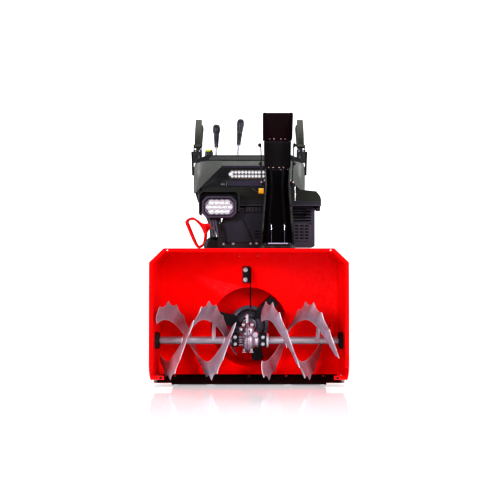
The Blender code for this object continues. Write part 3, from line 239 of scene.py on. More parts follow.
RED = (0.9, 0.001, 0.0012)
# Each edge colour below is a painted edge highlight mixed with wear.
SKINS = {
    "red_paint": surface("red_enamel", RED, (0.28, 0.38), patch=0.05, grain=420.0, relief=0.05,
        edge=(0.95, 0.06, 0.08), edge_sheen_and_wear_amount=0.4, gleam=0.06),
    "black_paint": surface("black_powder_coat", (0.0055, 0.005, 0.0068), (0.3, 0.44), grain=1300.0,
        relief=0.16, edge=(0.07, 0.065, 0.08), patch=0.2, gleam=0.3),
    "black_plastic": surface("moulded_black", (0.01, 0.011, 0.0105), (0.36, 0.52), grain=1500.0,
        relief=0.22, edge=(0.08, 0.08, 0.08), edge_sheen_and_wear_amount=0.4, patch=0.2, gleam=0.35),
    # The violet tint in this black moulding is a painted sheen.
    "cover_plastic": surface("moulded_violet_black", (0.009, 0.0078, 0.0128), (0.34, 0.48), grain=1200.0,
        relief=0.18, edge=(0.09, 0.08, 0.11), edge_sheen_and_wear_amount=0.4, patch=0.18, gleam=0.35),
    "galvanised": galvanised("galvanised_steel", (0.56, 0.5, 0.6), (0.38, 0.54)),
    "zinc": surface("zinc_plate", (0.46, 0.45, 0.49), (0.26, 0.4), metallic=1.0, grain=700.0, relief=0.08,
        patch=0.08),
    "cast": surface("cast_aluminium", (0.38, 0.31, 0.37), (0.3, 0.46), metallic=0.8, grain=620.0,
        relief=0.4, edge=(0.72, 0.66, 0.7), edge_sheen_and_wear_amount=0.8, patch=0.3),
    "belt_rubber": surface("hose_rubber", (0.006, 0.006, 0.007), (0.5, 0.65), grain=800.0, relief=0.2,
        gleam=0.3),
    "tyre_rubber": surface("tyre_rubber", (0.011, 0.011, 0.012), (0.62, 0.82), grain=520.0, relief=0.35,
        edge=(0.05, 0.05, 0.05), dust=0.12),
    "grip_rubber": surface("grip_rubber", (0.014, 0.016, 0.009), (0.34, 0.46), grain=1000.0, relief=0.3,
        edge=(0.1, 0.11, 0.07), gleam=0.45),
    # The smoked lens carries a painted glow.
    "lens": glow_painted("lens_smoke", (0.16, 0.14, 0.2), 0.02),
    "red_plastic": surface("red_moulding", (0.8, 0.0015, 0.003), (0.26, 0.38), relief=0.08, edge=(0.95,
        0.06, 0.07), edge_sheen_and_wear_amount=0.3, patch=0.06, gleam=0.15),
    "knob_plastic": surface("knob_moulding", (0.012, 0.01, 0.019), (0.3, 0.42), grain=1300.0, relief=0.15,
        edge=(0.1, 0.1, 0.12), edge_sheen_and_wear_amount=0.4, gleam=0.4),
    "runner_plastic": surface("white_runner", (0.83, 0.82, 0.8), (0.35, 0.5), grain=500.0, relief=0.15,
        patch=0.04),
}
HOOD_GREEN = surface("hood_green_black", (0.0085, 0.0098, 0.0055), (0.34, 0.48), grain=1400.0, relief=0.2,
    edge=(0.08, 0.09, 0.07), edge_sheen_and_wear_amount=0.4, patch=0.15, gleam=0.3)
PANEL_GREY = surface("panel_grey", (0.105, 0.113, 0.105), (0.3, 0.42), grain=1500.0, relief=0.15,
    edge=(0.3, 0.3, 0.3), edge_sheen_and_wear_amount=0.3, patch=0.1)
PANEL_DARK = surface("panel_dark", (0.007, 0.007, 0.01), (0.34, 0.5), grain=1500.0, relief=0.15,
    edge=(0.08, 0.08, 0.1), edge_sheen_and_wear_amount=0.4, patch=0.15, gleam=0.22)
BEZEL_GREY = surface("bezel_grey", (0.05, 0.052, 0.05), (0.34, 0.48), grain=1500.0, relief=0.15,
    edge=(0.12, 0.12, 0.12), edge_sheen_and_wear_amount=0.4, patch=0.15, gleam=0.35)
# Glossy black strip; its violet tint is a painted sheen.
GLOSS_PAINTED_VIOLET_SHEEN = surface("violet_gloss", (0.03, 0.022, 0.046), (0.16, 0.26), grain=600.0, relief=0.04,
    edge=(0.14, 0.12, 0.18), edge_sheen_and_wear_amount=0.4, patch=0.15)
YELLOW = surface("yellow_moulding", (0.9, 0.5, 0.02), (0.3, 0.42), edge=(0.95, 0.6, 0.1), edge_sheen_and_wear_amount=0.4,
    patch=0.06)
LIME = surface("lime_mark", (0.55, 0.58, 0.02), (0.35, 0.5), patch=0.08)
DEEP_BLACK = surface("deep_black", (0.003, 0.003, 0.004), (0.5, 0.7), relief=0.2, patch=0.2, gleam=0.2)
BRIGHT = surface("bright_wire", (0.56, 0.59, 0.68), (0.16, 0.28), metallic=1.0, relief=0.05, patch=0.05)
STEEL_ROD = surface("steel_rod", (0.2, 0.2, 0.23), (0.24, 0.36), metallic=0.9, relief=0.06, patch=0.1)
GUARD_BLUE = surface("guard_blue", (0.035, 0.037, 0.085), (0.35, 0.5), relief=0.06, patch=0.1)
GUARD_ZINC = surface("guard_zinc", (0.34, 0.42, 0.56), (0.4, 0.55), relief=0.06, patch=0.1)
PINK_RIVET = surface("rivet_copper", (0.62, 0.42, 0.42), (0.28, 0.4), metallic=0.6, relief=0.05,
    patch=0.1)
SLEEVE_STEEL = surface("sleeve_steel", (0.36, 0.335, 0.375), (0.36, 0.5), metallic=0.6, grain=300.0,
    relief=0.25, patch=0.14)
RIBBON_EDGE = surface("ribbon_edge", (0.52, 0.5, 0.53), (0.3, 0.45), metallic=0.8, grain=700.0,
    patch=0.08)
IMPELLER_BLUE = surface("impeller_blue_black", (0.06, 0.058, 0.085), (0.24, 0.36), metallic=0.2,
    grain=800.0, relief=0.12, edge=(0.2, 0.2, 0.25), patch=0.15, coat=0.2)
CHUTE_BLACK = surface("chute_black", (0.004, 0.0028, 0.005), (0.34, 0.46), grain=1100.0, relief=0.12,
    edge=(0.11, 0.125, 0.12), edge_sheen_and_wear_amount=0.6, patch=0.25, gleam=0.07)
BROWN_BLACK = surface("deflector_black", (0.0085, 0.0068, 0.0088), (0.34, 0.48), grain=1300.0, relief=0.2,
    edge=(0.07, 0.055, 0.07), patch=0.25, gleam=0.14)
LAMP_VIOLET = surface("lamp_violet_grey", (0.04, 0.033, 0.058), (0.3, 0.42), metallic=0.1, grain=1300.0,
    relief=0.18, edge=(0.15, 0.13, 0.19))
# The blue tint in this black moulding is a painted sheen.
BELT_PAINTED_BLUE_SHEEN = surface("belt_blue_black", (0.0165, 0.017, 0.03), (0.34, 0.46), grain=1300.0, relief=0.16,
    edge=(0.08, 0.08, 0.1), edge_sheen_and_wear_amount=0.45, patch=0.14, gleam=0.28)
# Painted glow on the lamp and light-bar mouldings below.
LED_CUP = glow_painted("led_cup", (0.4, 0.44, 0.48), 0.06, 0.35)
DASH_CUP = glow_painted("dash_cup", (0.56, 0.58, 0.62), 0.16, 0.3)
LED_WARM = glow_painted("led_warm", (0.11, 0.065, 0.045), 0.03, 0.3)
LED_CORE = glow_painted("led_core", (0.95, 0.93, 1.0), 0.5)


# Mesh helpers

def point(x, depth, z):
    """A place given as x, depth and z."""
    return Vector((x, FRONT + depth, z))


def on_axis(axis, u, v, along):
    """A point from two coordinates across an axis and one along it, in X, depth, Z order."""
    return point(*{"X": (along, u, v), "Y": (u, along, v), "Z": (u, v, along)}[axis])


def span(side, near, far):
    """Two distances from the middle plane, as lowest and highest x on one side of it."""
    return sorted((side * near, side * far))


def add_band(mesh, near, far, closed=True):
    """A strip of four-sided faces between two rows of corners."""
    for j in range(len(near) if closed else len(near) - 1):
        k = (j + 1) % len(near)
        mesh.faces.new([near[j], near[k], far[k], far[j]])


def add_loft(mesh, loops):
    """A closed body through loops that have as many points each."""
    rings = [[mesh.verts.new(place) for place in loop] for loop in loops]
    for lower, upper in zip(rings, rings[1:]):
        add_band(mesh, lower, upper)
    mesh.faces.new(rings[0][::-1])
    mesh.faces.new(rings[-1])


def add_prism(mesh, axis, outline, low, high):
    """An outline carried along an axis."""
    add_loft(mesh, [[on_axis(axis, u, v, along) for u, v in outline] for along in (low, high)])


def rectangle(u0, u1, v0, v1):
    """The corners of a rectangle."""
    return [(u0, v0), (u1, v0), (u1, v1), (u0, v1)]


def add_box(mesh, x0, x1, d0, d1, z0, z1):
    """A block between two values on each axis."""
    add_prism(mesh, "Z", rectangle(x0, x1, d0, d1), z0, z1)


def circle(u, v, radius, count=32, start=0.0, sweep=2 * pi):
    """Points round a circle, or along an arc of it."""
    steps = count if sweep >= 2 * pi else count + 1
    return [(u + radius * cos(start + sweep * i / count), v + radius * sin(start + sweep * i / count))
        for i in range(steps)]


def add_lathe(mesh, axis, centre, profile, count=40):
    """A closed or axis-to-axis profile of (radius, along) points turned about an axis."""
    rings = []
    for radius, along in profile:
        if radius < 1e-6:
            rings.append([mesh.verts.new(on_axis(axis, *centre, along))] * count)
        else:
            rings.append([mesh.verts.new(on_axis(axis, u, v, along))
                for u, v in circle(*centre, radius, count)])
    for i, ring in enumerate(rings):
        following = rings[(i + 1) % len(rings)]
        for j in range(count):
            k = (j + 1) % count
            corners = list(dict.fromkeys([ring[j], ring[k], following[k], following[j]]))
            if len(corners) > 2:
                mesh.faces.new(corners)


def add_rod(mesh, axis, centre, radius, low, high, count):
    """A plain round bar between two places along an axis."""
    add_lathe(mesh, axis, centre, [(0.0, low), (radius, low), (radius, high), (0.0, high)], count)


def between(a, b, c, d, t):
    """A point from b, at t = 0, to c, at t = 1, on the Catmull-Rom curve through four points."""
    return 0.5 * (2 * b + (c - a) * t + (2 * a - 5 * b + 4 * c - d) * t ** 2
        + (3 * b - a - 3 * c + d) * t ** 3)


def smooth_route(points, spacing):
    """Points a spacing apart on a smooth curve through the given (x, depth, z) ones."""
    knots = [point(*p) for p in points]
    knots = [2 * knots[0] - knots[1]] + knots + [2 * knots[-1] - knots[-2]]
    route = []
    for a, b, c, d in zip(knots, knots[1:], knots[2:], knots[3:]):
        steps = max(2, ceil((c - b).length / spacing))
        route += [between(a, b, c, d, i / steps) for i in range(steps)]
    return route + [knots[-2]]


def smooth_ring(places, depth, count=72):
    """A closed smooth line through places given as x and z."""
    line = []
    for i in range(count):
        at = i * len(places) / count
        j = int(at)
        spot = between(*(Vector(places[(j + k) % len(places)]) for k in (-1, 0, 1, 2)), at - j)
        line.append(point(spot.x, depth, spot.y))
    return line


def add_tube(mesh, route, radius, sides=16):
    """A round bar along a route of points; radius may be a list, one for each point."""
    radii = radius if isinstance(radius, list) else [radius] * len(route)
    ahead = (route[1] - route[0]).normalized()
    across = ahead.orthogonal().normalized()
    loops = []
    for i, here in enumerate(route):
        before = route[max(i - 1, 0)]
        after = route[min(i + 1, len(route) - 1)]
        direction = (after - before).normalized()
        across = (across - direction * across.dot(direction)).normalized()
        up = direction.cross(across)
        loops.append([here + radii[i] * (cos(2 * pi * j / sides) * across + sin(2 * pi * j / sides) * up)
            for j in range(sides)])
    add_loft(mesh, loops)


def head_loops(place, direction, rings):
    """The loops of a round head that stands on a place, from rings of radius, height and corners."""
    turn = Z_AXIS.rotation_difference(Vector(direction).normalized()).to_matrix()
    base = point(*place)
    return [[base + turn @ Vector((u, v, along)) for u, v in circle(0.0, 0.0, radius, count)] for radius,
        along, count in rings]


def add_bolt(mesh, place, direction, radius, height, washer):
    """A twelve-sided head with a crowned top, on a washer if it has one."""
    low = 0.0012 if washer else 0.0
    if washer:
        add_loft(mesh, head_loops(place, direction, [(washer, 0.0, 24), (washer, low, 24)]))
    add_loft(mesh, head_loops(place, direction,
        [(radius, low - 0.0002, 12), (radius, height * 0.85, 12), (radius * 0.82, height, 12)]))


def add_dome(mesh, place, direction, radius, height):
    """A round rivet head."""
    add_loft(mesh, head_loops(place, direction,
        [(radius * cos(step * pi / 7), height * sin(step * pi / 7), 16) for step in range(4)]))


def new_object(name, mesh):
    """Put a bmesh into the scene as an object."""
    data = bpy.data.meshes.new(name)
    mesh.to_mesh(data)
    mesh.free()
    item = bpy.data.objects.new(name, data)
    bpy.context.scene.collection.objects.link(item)
    return item


def apply_modifiers(item):
    """Put an item's modifiers into its mesh."""
    bpy.context.view_layer.update()
    seen = item.evaluated_get(bpy.context.evaluated_depsgraph_get())
    mesh = bpy.data.meshes.new_from_object(seen)
    item.modifiers.clear()
    item.data = mesh


def as_piece(name, mesh, skin, body="machine", bevel=0.0, segments=2, angle=30, subdivide=0, node=None,
        slot=None):
    """Turn a bmesh into a piece that rides on a body, with rounded edges and smooth shading."""
    bmesh.ops.recalc_face_normals(mesh, faces=mesh.faces)
    item = new_object(name, mesh)
    item.data.shade_smooth()
    if bevel:
        modifier = item.modifiers.new("edges", "BEVEL")
        modifier.width = bevel
        modifier.segments = segments
        modifier.limit_method = "ANGLE"
        modifier.angle_limit = radians(angle)
        modifier.use_clamp_overlap = True
    if subdivide:
        modifier = item.modifiers.new("smooth", "SUBSURF")
        modifier.levels = subdivide
        modifier.render_levels = subdivide
    apply_modifiers(item)
    item.data.set_sharp_from_angle(angle=radians(42))
    item.modifiers.new("weighted", "WEIGHTED_NORMAL").keep_sharp = True
    apply_modifiers(item)
    item.data.materials.clear()
    item.data.materials.append(skin)
    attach(item, body)
    if node:
        replaced = [node] if isinstance(node, str) else node
        DONE.update(replaced)
        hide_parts(*replaced)
        slot = slot or SLOT_OF[replaced[0]]
    return item


def refine(node, bevel=0.0008, segments=2, skin=None, angle=30):
    """A finer copy of a CAD node with rounded edges, which stands for it."""
    mesh = bmesh.new()
    mesh.from_mesh(NODES[node].data)
    bmesh.ops.remove_doubles(mesh, verts=mesh.verts, dist=2e-6)
    bmesh.ops.dissolve_limit(mesh, angle_limit=radians(0.4), verts=mesh.verts, edges=mesh.edges)
    skin = skin or SKINS[SLOT_OF[node]]
    as_piece(node + "_skin", mesh, skin, BODY_OF[node], bevel, segments, angle, node=node)


def joint_place(name):
    """A joint's x, depth and z."""
    place = next(joint["pos_m"] for joint in frame["joints"] if joint["name"] == name)
    return place[0], place[1] - FRONT, place[2]


def bolts(name, body, places, direction=(0, -1, 0), radius=0.0062, height=0.005, washer=0.0):
    """Zinc-plated bolt heads that ride on a body."""
    mesh = bmesh.new()
    for place in places:
        add_bolt(mesh, place, direction, radius, height, washer)
    as_piece(name, mesh, SKINS["zinc"], body, slot="zinc")


def rivets(name, body, places, direction=(0, -1, 0), radius=0.004, height=0.0025, skin=None, slot="zinc"):
    """Round heads that ride on a body."""
    mesh = bmesh.new()
    for place in places:
        add_dome(mesh, place, direction, radius, height)
    as_piece(name, mesh, skin or SKINS["zinc"], body, slot=slot)


# Intake

_, AUGER_DEPTH, AUGER_Z = joint_place("auger_spin")
HOUSING = edges_of("auger_housing")
HALF_WIDTH, HOUSING_TOP = HOUSING[1], HOUSING[5]
BACK_WALL = HOUSING[3] - 0.003


def intake_trim():
    """Rivets at the lip's corners, small screws in the top lip and the back wall, and foot bolts."""
    lip_top = HOUSING_TOP - 0.007
    rivets("lip_rivets", "machine", [(side * 0.3, 0.0, lip_top) for side in (LEFT, RIGHT)], radius=0.0042)
    rivets("top_wall_screws", "machine", [(x, BACK_WALL, 0.507) for x in (-0.039, 0.037)], radius=0.0035)
    rivets("foot_bolts", "machine", [(side * 0.331, 0.05, 0.048) for side in (LEFT, RIGHT)],
        radius=0.0055, skin=SKINS["black_paint"], slot="black_paint")
    rivets("trough_rivets", "machine", [(x, BACK_WALL - 0.002, 0.232)
        for x in (-0.337, -0.232, 0.232, 0.337)], radius=0.0032, skin=SKINS["red_paint"],
        slot="red_paint")


def scraper():
    """The black cutting edge with its strip up the trough, and the bolts along it."""
    refine("scraper_bar", 0.001, skin=DEEP_BLACK)
    strip = bmesh.new()
    arcs = [[(AUGER_DEPTH + radius * sin(radians(a)), AUGER_Z - radius * cos(radians(a)))
        for a in range(4, 29, 2)] for radius in (0.1658, 0.1642)]
    add_prism(strip, "X", arcs[0] + arcs[1][::-1], -0.352, 0.352)
    as_piece("scraper_strip", strip, DEEP_BLACK, slot="black_paint")
    bolts("scraper_bolts", "machine", [(x, 0.2245, 0.0242)
        for x in (-0.297, -0.1485, 0.0, 0.1485, 0.297)], direction=(0, -0.388, 0.921), radius=0.0066,
        height=0.0042)


# Auger

TEETH_PER_TURN = 13
RIBBON_LEAN = 0.018
RIBBONS = {LEFT: {"first": -35.0, "last": 302.6, "rim_x": -0.3465, "pitch": 0.318, "turn": -1,
    "lugs": (((90, 0.5), (222, -1.7)), ((270, -0.6), (450, 0.5)))},
    RIGHT: {"first": -25.0, "last": 292.6, "rim_x": 0.0567, "pitch": 0.316, "turn": 1,
    "lugs": (((90, 0.5), (270, 0.6)), ((270, 0.6), (412, 0.8)))},}
RIBBON_INNER, RIBBON_VALLEY, RIBBON_TIP = 0.079, 0.1395, 0.1558


def tooth_radius(turn):
    """The ribbon's rim: pointed teeth with scooped valleys between them."""
    phase = (turn * TEETH_PER_TURN) % 1.0
    tooth = max(0.0, 1.0 - abs(phase - 0.5) / 0.24)
    scoop = 0.0016 * cos(2 * pi * phase)
    return RIBBON_VALLEY - scoop * (1.0 - tooth) + (RIBBON_TIP - RIBBON_VALLEY) * tooth ** 1.15


def ribbon_x(data, angle, share):
    """Where a ribbon stands along the shaft; share runs from its inner edge to its rim."""
    along = angle - data["first"]
    lean = RIBBON_LEAN * (0.35 + 0.65 * min(1.0, along / 90))
    return data["rim_x"] + data["pitch"] * along / 360.0 - lean * (1.0 - share)


def ribbon_point(data, angle, share, lift):
    """A place on a ribbon: share runs from its inner edge to its rim, lift is across its thickness."""
    inner = RIBBON_INNER + 0.0035 * sin(radians(3.0 * angle))
    outer = tooth_radius(angle / 360.0)
    radius = inner + (outer - inner) * share
    fold = 0.0045 * (1.0 - (2.0 * share - 1.0) ** 2)
    x = ribbon_x(data, angle, share) - fold + lift
    turn = radians(angle)
    return point(x, AUGER_DEPTH - radius * sin(turn), AUGER_Z + data["turn"] * radius * cos(turn))


def add_ribbon(mesh, data, half_turn):
    """One toothed ribbon; its rim and ends take the second material."""
    steps = ceil((data["last"] - data["first"]) / 360.0 * TEETH_PER_TURN * 10)
    rows = 7
    shifted = dict(data, first=data["first"] + half_turn, last=data["last"] + half_turn)
    sheets = []
    for lift in (-0.0015, 0.0015):
        sheet = []
        for i in range(steps + 1):
            angle = shifted["first"] + (shifted["last"] - shifted["first"]) * i / steps
            sheet.append([mesh.verts.new(ribbon_point(shifted, angle, j / rows, lift))
                for j in range(rows + 1)])
        sheets.append(sheet)
    back, front = sheets
    for sheet in sheets:
        for near, far in zip(sheet, sheet[1:]):
            add_band(mesh, near, far, closed=False)
    for i in range(steps):
        for j in (0, rows):
            mesh.faces.new([back[i][j], back[i + 1][j], front[i + 1][j], front[i][j]]).material_index = 1
    for i in (0, steps):
        for j in range(rows):
            mesh.faces.new([back[i][j], back[i][j + 1], front[i][j + 1], front[i][j]]).material_index = 1


def add_lug(mesh, data, angle, curl):
    """A hooked strip from the sleeve to a ribbon's inner edge, curling round the sleeve at its foot."""
    x = ribbon_x(data, angle, 0.0)
    loops = []
    for step in range(17):
        share = step / 16.0
        radius = 0.0145 + 0.07 * share ** 1.25
        turn = radians(angle) + curl * (1.0 - share) ** 1.5
        outward = Vector((0, -sin(turn), data["turn"] * cos(turn)))
        along = Vector((0, -cos(turn), -data["turn"] * sin(turn)))
        half = 0.0085 + 0.011 * share ** 2
        twist = 0.9 - 0.75 * share
        width = (along * cos(twist) + X_AXIS * sin(twist)) * half
        thick = (X_AXIS * cos(twist) - along * sin(twist)) * 0.0017
        centre = point(x, AUGER_DEPTH, AUGER_Z) + outward * radius
        loops.append([centre - width - thick, centre + width - thick, centre + width + thick,
            centre - width + thick])
    add_loft(mesh, loops)


def auger_side(side):
    """A pair of ribbons on their sleeve, and the shear-bolt coupling beside the gearbox."""
    data = RIBBONS[side]
    label = SIDE_NAMES[side]
    mesh = bmesh.new()
    for half_turn, angles in zip((0, 180), data["lugs"]):
        add_ribbon(mesh, data, half_turn)
        for angle, curl in angles:
            add_lug(mesh, dict(data, first=data["first"] + half_turn), angle, curl)
    sleeve = [(0.0106, 0.07), (0.0144, 0.07), (0.015, 0.071), (0.015, 0.3465), (0.0144, 0.3475),
        (0.0106, 0.3475)]
    tube = bmesh.new()
    add_lathe(tube, "X", (AUGER_DEPTH, AUGER_Z), [(r, side * along) for r, along in sleeve], 48)
    as_piece("auger_sleeve_" + label, tube, SLEEVE_STEEL, "auger", slot="galvanised")
    flange = [(0.0106, 0.0665), (0.026, 0.0665), (0.028, 0.068), (0.028, 0.0745), (0.0265, 0.076),
        (0.0106, 0.076)]
    if side == RIGHT:
        add_lathe(mesh, "X", (AUGER_DEPTH, AUGER_Z), flange, 40)
    piece = as_piece("auger_flight_" + label + "_skin", mesh, SKINS["galvanised"], "auger",
        node="auger_flight_" + label)
    piece.data.materials.append(RIBBON_EDGE)
    block = bmesh.new()
    outline = [(0.134, 0.156), (0.137, 0.153), (0.183, 0.153), (0.186, 0.156), (0.186, 0.201),
        (0.183, 0.204), (0.137, 0.204), (0.134, 0.201)]
    low, high = span(side, 0.0405, 0.0665)
    add_prism(block, "X", outline, low, high)
    add_box(block, *span(side, 0.046, 0.061), 0.1315, 0.1345, 0.157, 0.2)
    as_piece("coupling_" + label, block, SKINS["black_paint"], "auger", bevel=0.0012, slot="black_paint")
    bolts("coupling_bolts_" + label, "auger", [(side * 0.054, 0.1316, z) for z in (0.191, 0.165)],
        radius=0.0066, height=0.0062)


def end_bearing(side):
    """The bearing block of the auger shaft in a side wall."""
    label = SIDE_NAMES[side]
    mesh = bmesh.new()
    wall = HALF_WIDTH - 0.0036
    profile = [(0.0108, 0.349), (0.018, 0.349), (0.019, 0.3505), (0.027, 0.3505), (0.03, 0.3495),
        (0.033, 0.352), (0.033, wall), (0.0108, wall)]
    add_lathe(mesh, "X", (AUGER_DEPTH, AUGER_Z), [(r, side * along) for r, along in profile], 48)
    as_piece("auger_bearing_" + label + "_skin", mesh, SKINS["black_plastic"],
        node="auger_bearing_" + label)


# Gearbox, strut and impeller

WORM_Z = joint_place("impeller_spin")[2]


def gearbox():
    """The cast case: wheel drum, domed worm nose, seam flange with its ear, ribs, bosses and feet."""
    seam = -0.005
    wheel = (AUGER_DEPTH, AUGER_Z)
    mesh = bmesh.new()
    add_lathe(mesh, "X", wheel, [(0.0108, -0.0385), (0.0215, -0.0385), (0.024, -0.037), (0.025, -0.03),
        (0.0285, -0.0265), (0.035, -0.0225), (0.0395, -0.017), (0.0412, -0.01), (0.0412, 0.003),
        (0.0395, 0.009), (0.0345, 0.015), (0.029, 0.02), (0.0262, 0.026), (0.0275, 0.03), (0.028, 0.0335),
        (0.0255, 0.0372), (0.0215, 0.0385), (0.0108, 0.0385)], 48)
    add_lathe(mesh, "Y", (0.0, WORM_Z), [(0.0, 0.1085), (0.0075, 0.109), (0.0135, 0.1115), (0.018, 0.116),
        (0.0205, 0.1235), (0.0212, 0.14), (0.0205, 0.227), (0.0195, 0.228), (0.0102, 0.228)], 40)
    for low, high in ((seam - 0.0048, seam - 0.0004), (seam + 0.0004, seam + 0.0048)):
        add_lathe(mesh, "X", wheel, [(0.03, low), (0.0468, low), (0.0478, low + 0.0008),
            (0.0478, high - 0.0008), (0.0468, high), (0.03, high)], 48)
        add_prism(mesh, "X", [(0.118, 0.188), (0.1065, 0.2), (0.1045, 0.214), (0.106, 0.228),
            (0.115, 0.24), (0.128, 0.2448), (0.205, 0.2448), (0.222, 0.236), (0.226, 0.215),
            (0.214, 0.19)], low, high)
    add_prism(mesh, "X", [(0.146, 0.238), (0.176, 0.238), (0.172, 0.271), (0.168, 0.2785), (0.161, 0.281),
        (0.154, 0.2785), (0.15, 0.271)], seam - 0.0068, seam + 0.0018)
    for z in (0.162, 0.172, 0.182, 0.192):
        add_box(mesh, -0.0392, -0.019, AUGER_DEPTH - 0.0305, AUGER_DEPTH - 0.018, z - 0.0016, z + 0.0016)
    for side in (LEFT, RIGHT):
        foot_x = seam + side * 0.0145
        add_loft(mesh, [[point(foot_x + u * wide, AUGER_DEPTH - 0.02 + v * wide, z)
            for u, v in ((-1, -1), (1, -1), (1, 1), (-1, 1))]
            for z, wide in ((0.131, 0.0075), (0.134, 0.0075), (0.136, 0.005), (0.146, 0.004))])
        add_lathe(mesh, "Y", (seam + side * 0.0165, 0.2395),
            [(0.0, 0.118), (0.006, 0.1182), (0.0072, 0.12), (0.008, 0.142), (0.0, 0.142)], 20)
    add_lathe(mesh, "Y", (-0.03, 0.2225), [(0.0, 0.115), (0.0062, 0.1152), (0.0074, 0.1172),
        (0.0085, 0.15), (0.0, 0.15)], 20)
    add_lathe(mesh, "Y", (0.0235, 0.201), [(0.0, 0.12), (0.01, 0.121), (0.013, 0.126), (0.014, 0.15),
        (0.0, 0.15)], 24)
    as_piece("gearbox_skin", mesh, SKINS["cast"], bevel=0.0007,
        node=["gearbox_case_left", "gearbox_case_right"])
    gasket = bmesh.new()
    add_lathe(gasket, "X", wheel, [(0.03, seam - 0.0007), (0.048, seam - 0.0007), (0.048, seam + 0.0007),
        (0.03, seam + 0.0007)], 48)
    add_box(gasket, seam - 0.0007, seam + 0.0007, 0.1042, 0.13, 0.196, 0.232)
    as_piece("gearbox_gasket", gasket, DEEP_BLACK, slot="cast")
    bolts("gearbox_screws", "machine", [(-0.014, 0.1098, 0.2068), (-0.0315, 0.115, 0.2225),
        (-0.0215, 0.118, 0.2395), (0.0115, 0.118, 0.2395)], radius=0.004, height=0.004, washer=0.0052)
    bolts("gearbox_ear_bolt", "machine", [(seam - 0.0068, 0.161, 0.268)], direction=(-1, 0, 0),
        radius=0.0055, height=0.0055, washer=0.0072)


def strut():
    """The bracket that holds the gearbox, and its two bolts."""
    refine("gearbox_strut", 0.0012)
    bolts("strut_bolts", "machine", [(-0.015, BACK_WALL - 0.012, z) for z in (0.449, 0.408)],
        radius=0.0078, height=0.0065, washer=0.0098)


def impeller():
    """The three-bladed wheel with its pressed disc and raised ring."""
    x, _, z = joint_place("impeller_spin")
    mesh = bmesh.new()
    hub = [(0.0101, 0.35), (0.026, 0.35), (0.03, 0.352), (0.032, 0.358), (0.036, 0.3635), (0.045, 0.3645),
        (0.05, 0.3635), (0.0535, 0.359), (0.058, 0.3575), (0.0625, 0.359), (0.0645, 0.364),
        (0.0655, 0.371), (0.07, 0.3735), (0.081, 0.3742), (0.0818, 0.376), (0.081, 0.378), (0.06, 0.379),
        (0.02, 0.38), (0.02, 0.44), (0.0101, 0.44)]
    add_lathe(mesh, "Y", (x, z), hub, 64)
    as_piece("impeller_skin", mesh, IMPELLER_BLUE, "impeller_assembly", node="impeller")
    ring = bmesh.new()
    add_lathe(ring, "Y", (x, z), [(0.056, 0.359), (0.058, 0.3556), (0.0615, 0.3545), (0.065, 0.3565),
        (0.0665, 0.37), (0.06, 0.371)], 64)
    as_piece("impeller_ring", ring, SKINS["black_paint"], "impeller_assembly", slot="black_paint")
    for number, turn in enumerate((38, 158, 278)):
        blade = bmesh.new()
        spin = Matrix.Rotation(radians(turn), 4, "Y")
        loops = []
        for step in range(13):
            share = step / 12.0
            height = 0.016 + (0.15 - 0.016) * share
            sweep = 0.01 * sin(pi * share)
            reach = 0.044 * min(1.0, max(0.0, (share - 0.12) * 4.0)) * (1.0 if share < 0.93 else 0.6)
            section = [(-0.003 - sweep, 0.436), (-0.003 - sweep, 0.3525), (0.001 + reach - sweep, 0.3525),
                (0.001 + reach - sweep, 0.356), (0.001 - sweep, 0.3565), (0.001 - sweep, 0.436)]
            loops.append([Vector((x, 0, z)) + spin @ Vector((u, FRONT + depth, height))
                for u, depth in section])
        add_loft(blade, loops)
        as_piece("impeller_blade_" + str(number + 1), blade, SKINS["black_paint"], "impeller_assembly",
            bevel=0.0007, slot="black_paint")


# Chute

CHUTE_X, CHUTE_DEPTH, COLLAR_Z = joint_place("chute_turn")
CHUTE_TOP = 0.878
CHUTE_SHEET = (0.003, 0.034, 12)
DEFLECTOR_SHEET = (0.0025, 0.006, 4)


def u_section(z, half, front, back, wall, corner, steps, flange=0.0):
    """A U-shaped section, open towards the front, with a thin flange along each edge if it has one."""
    outer = [(-half - flange, front), (-half - flange, front + wall), (-half, front + wall)]
    outer = outer if flange else [(-half, front)]
    inner = [(-half + wall, front)]
    for i in range(steps + 1):
        turn = pi - (pi / 2) * i / steps
        for line, radius in ((outer, corner), (inner, corner - wall)):
            line.append((-half + corner + radius * cos(turn), back - corner + radius * sin(turn)))
    outer += [(-x, y) for x, y in outer[::-1]]
    inner += [(-x, y) for x, y in inner[::-1]]
    return [point(CHUTE_X + x, CHUTE_DEPTH + y, z) for x, y in outer + inner[::-1]]


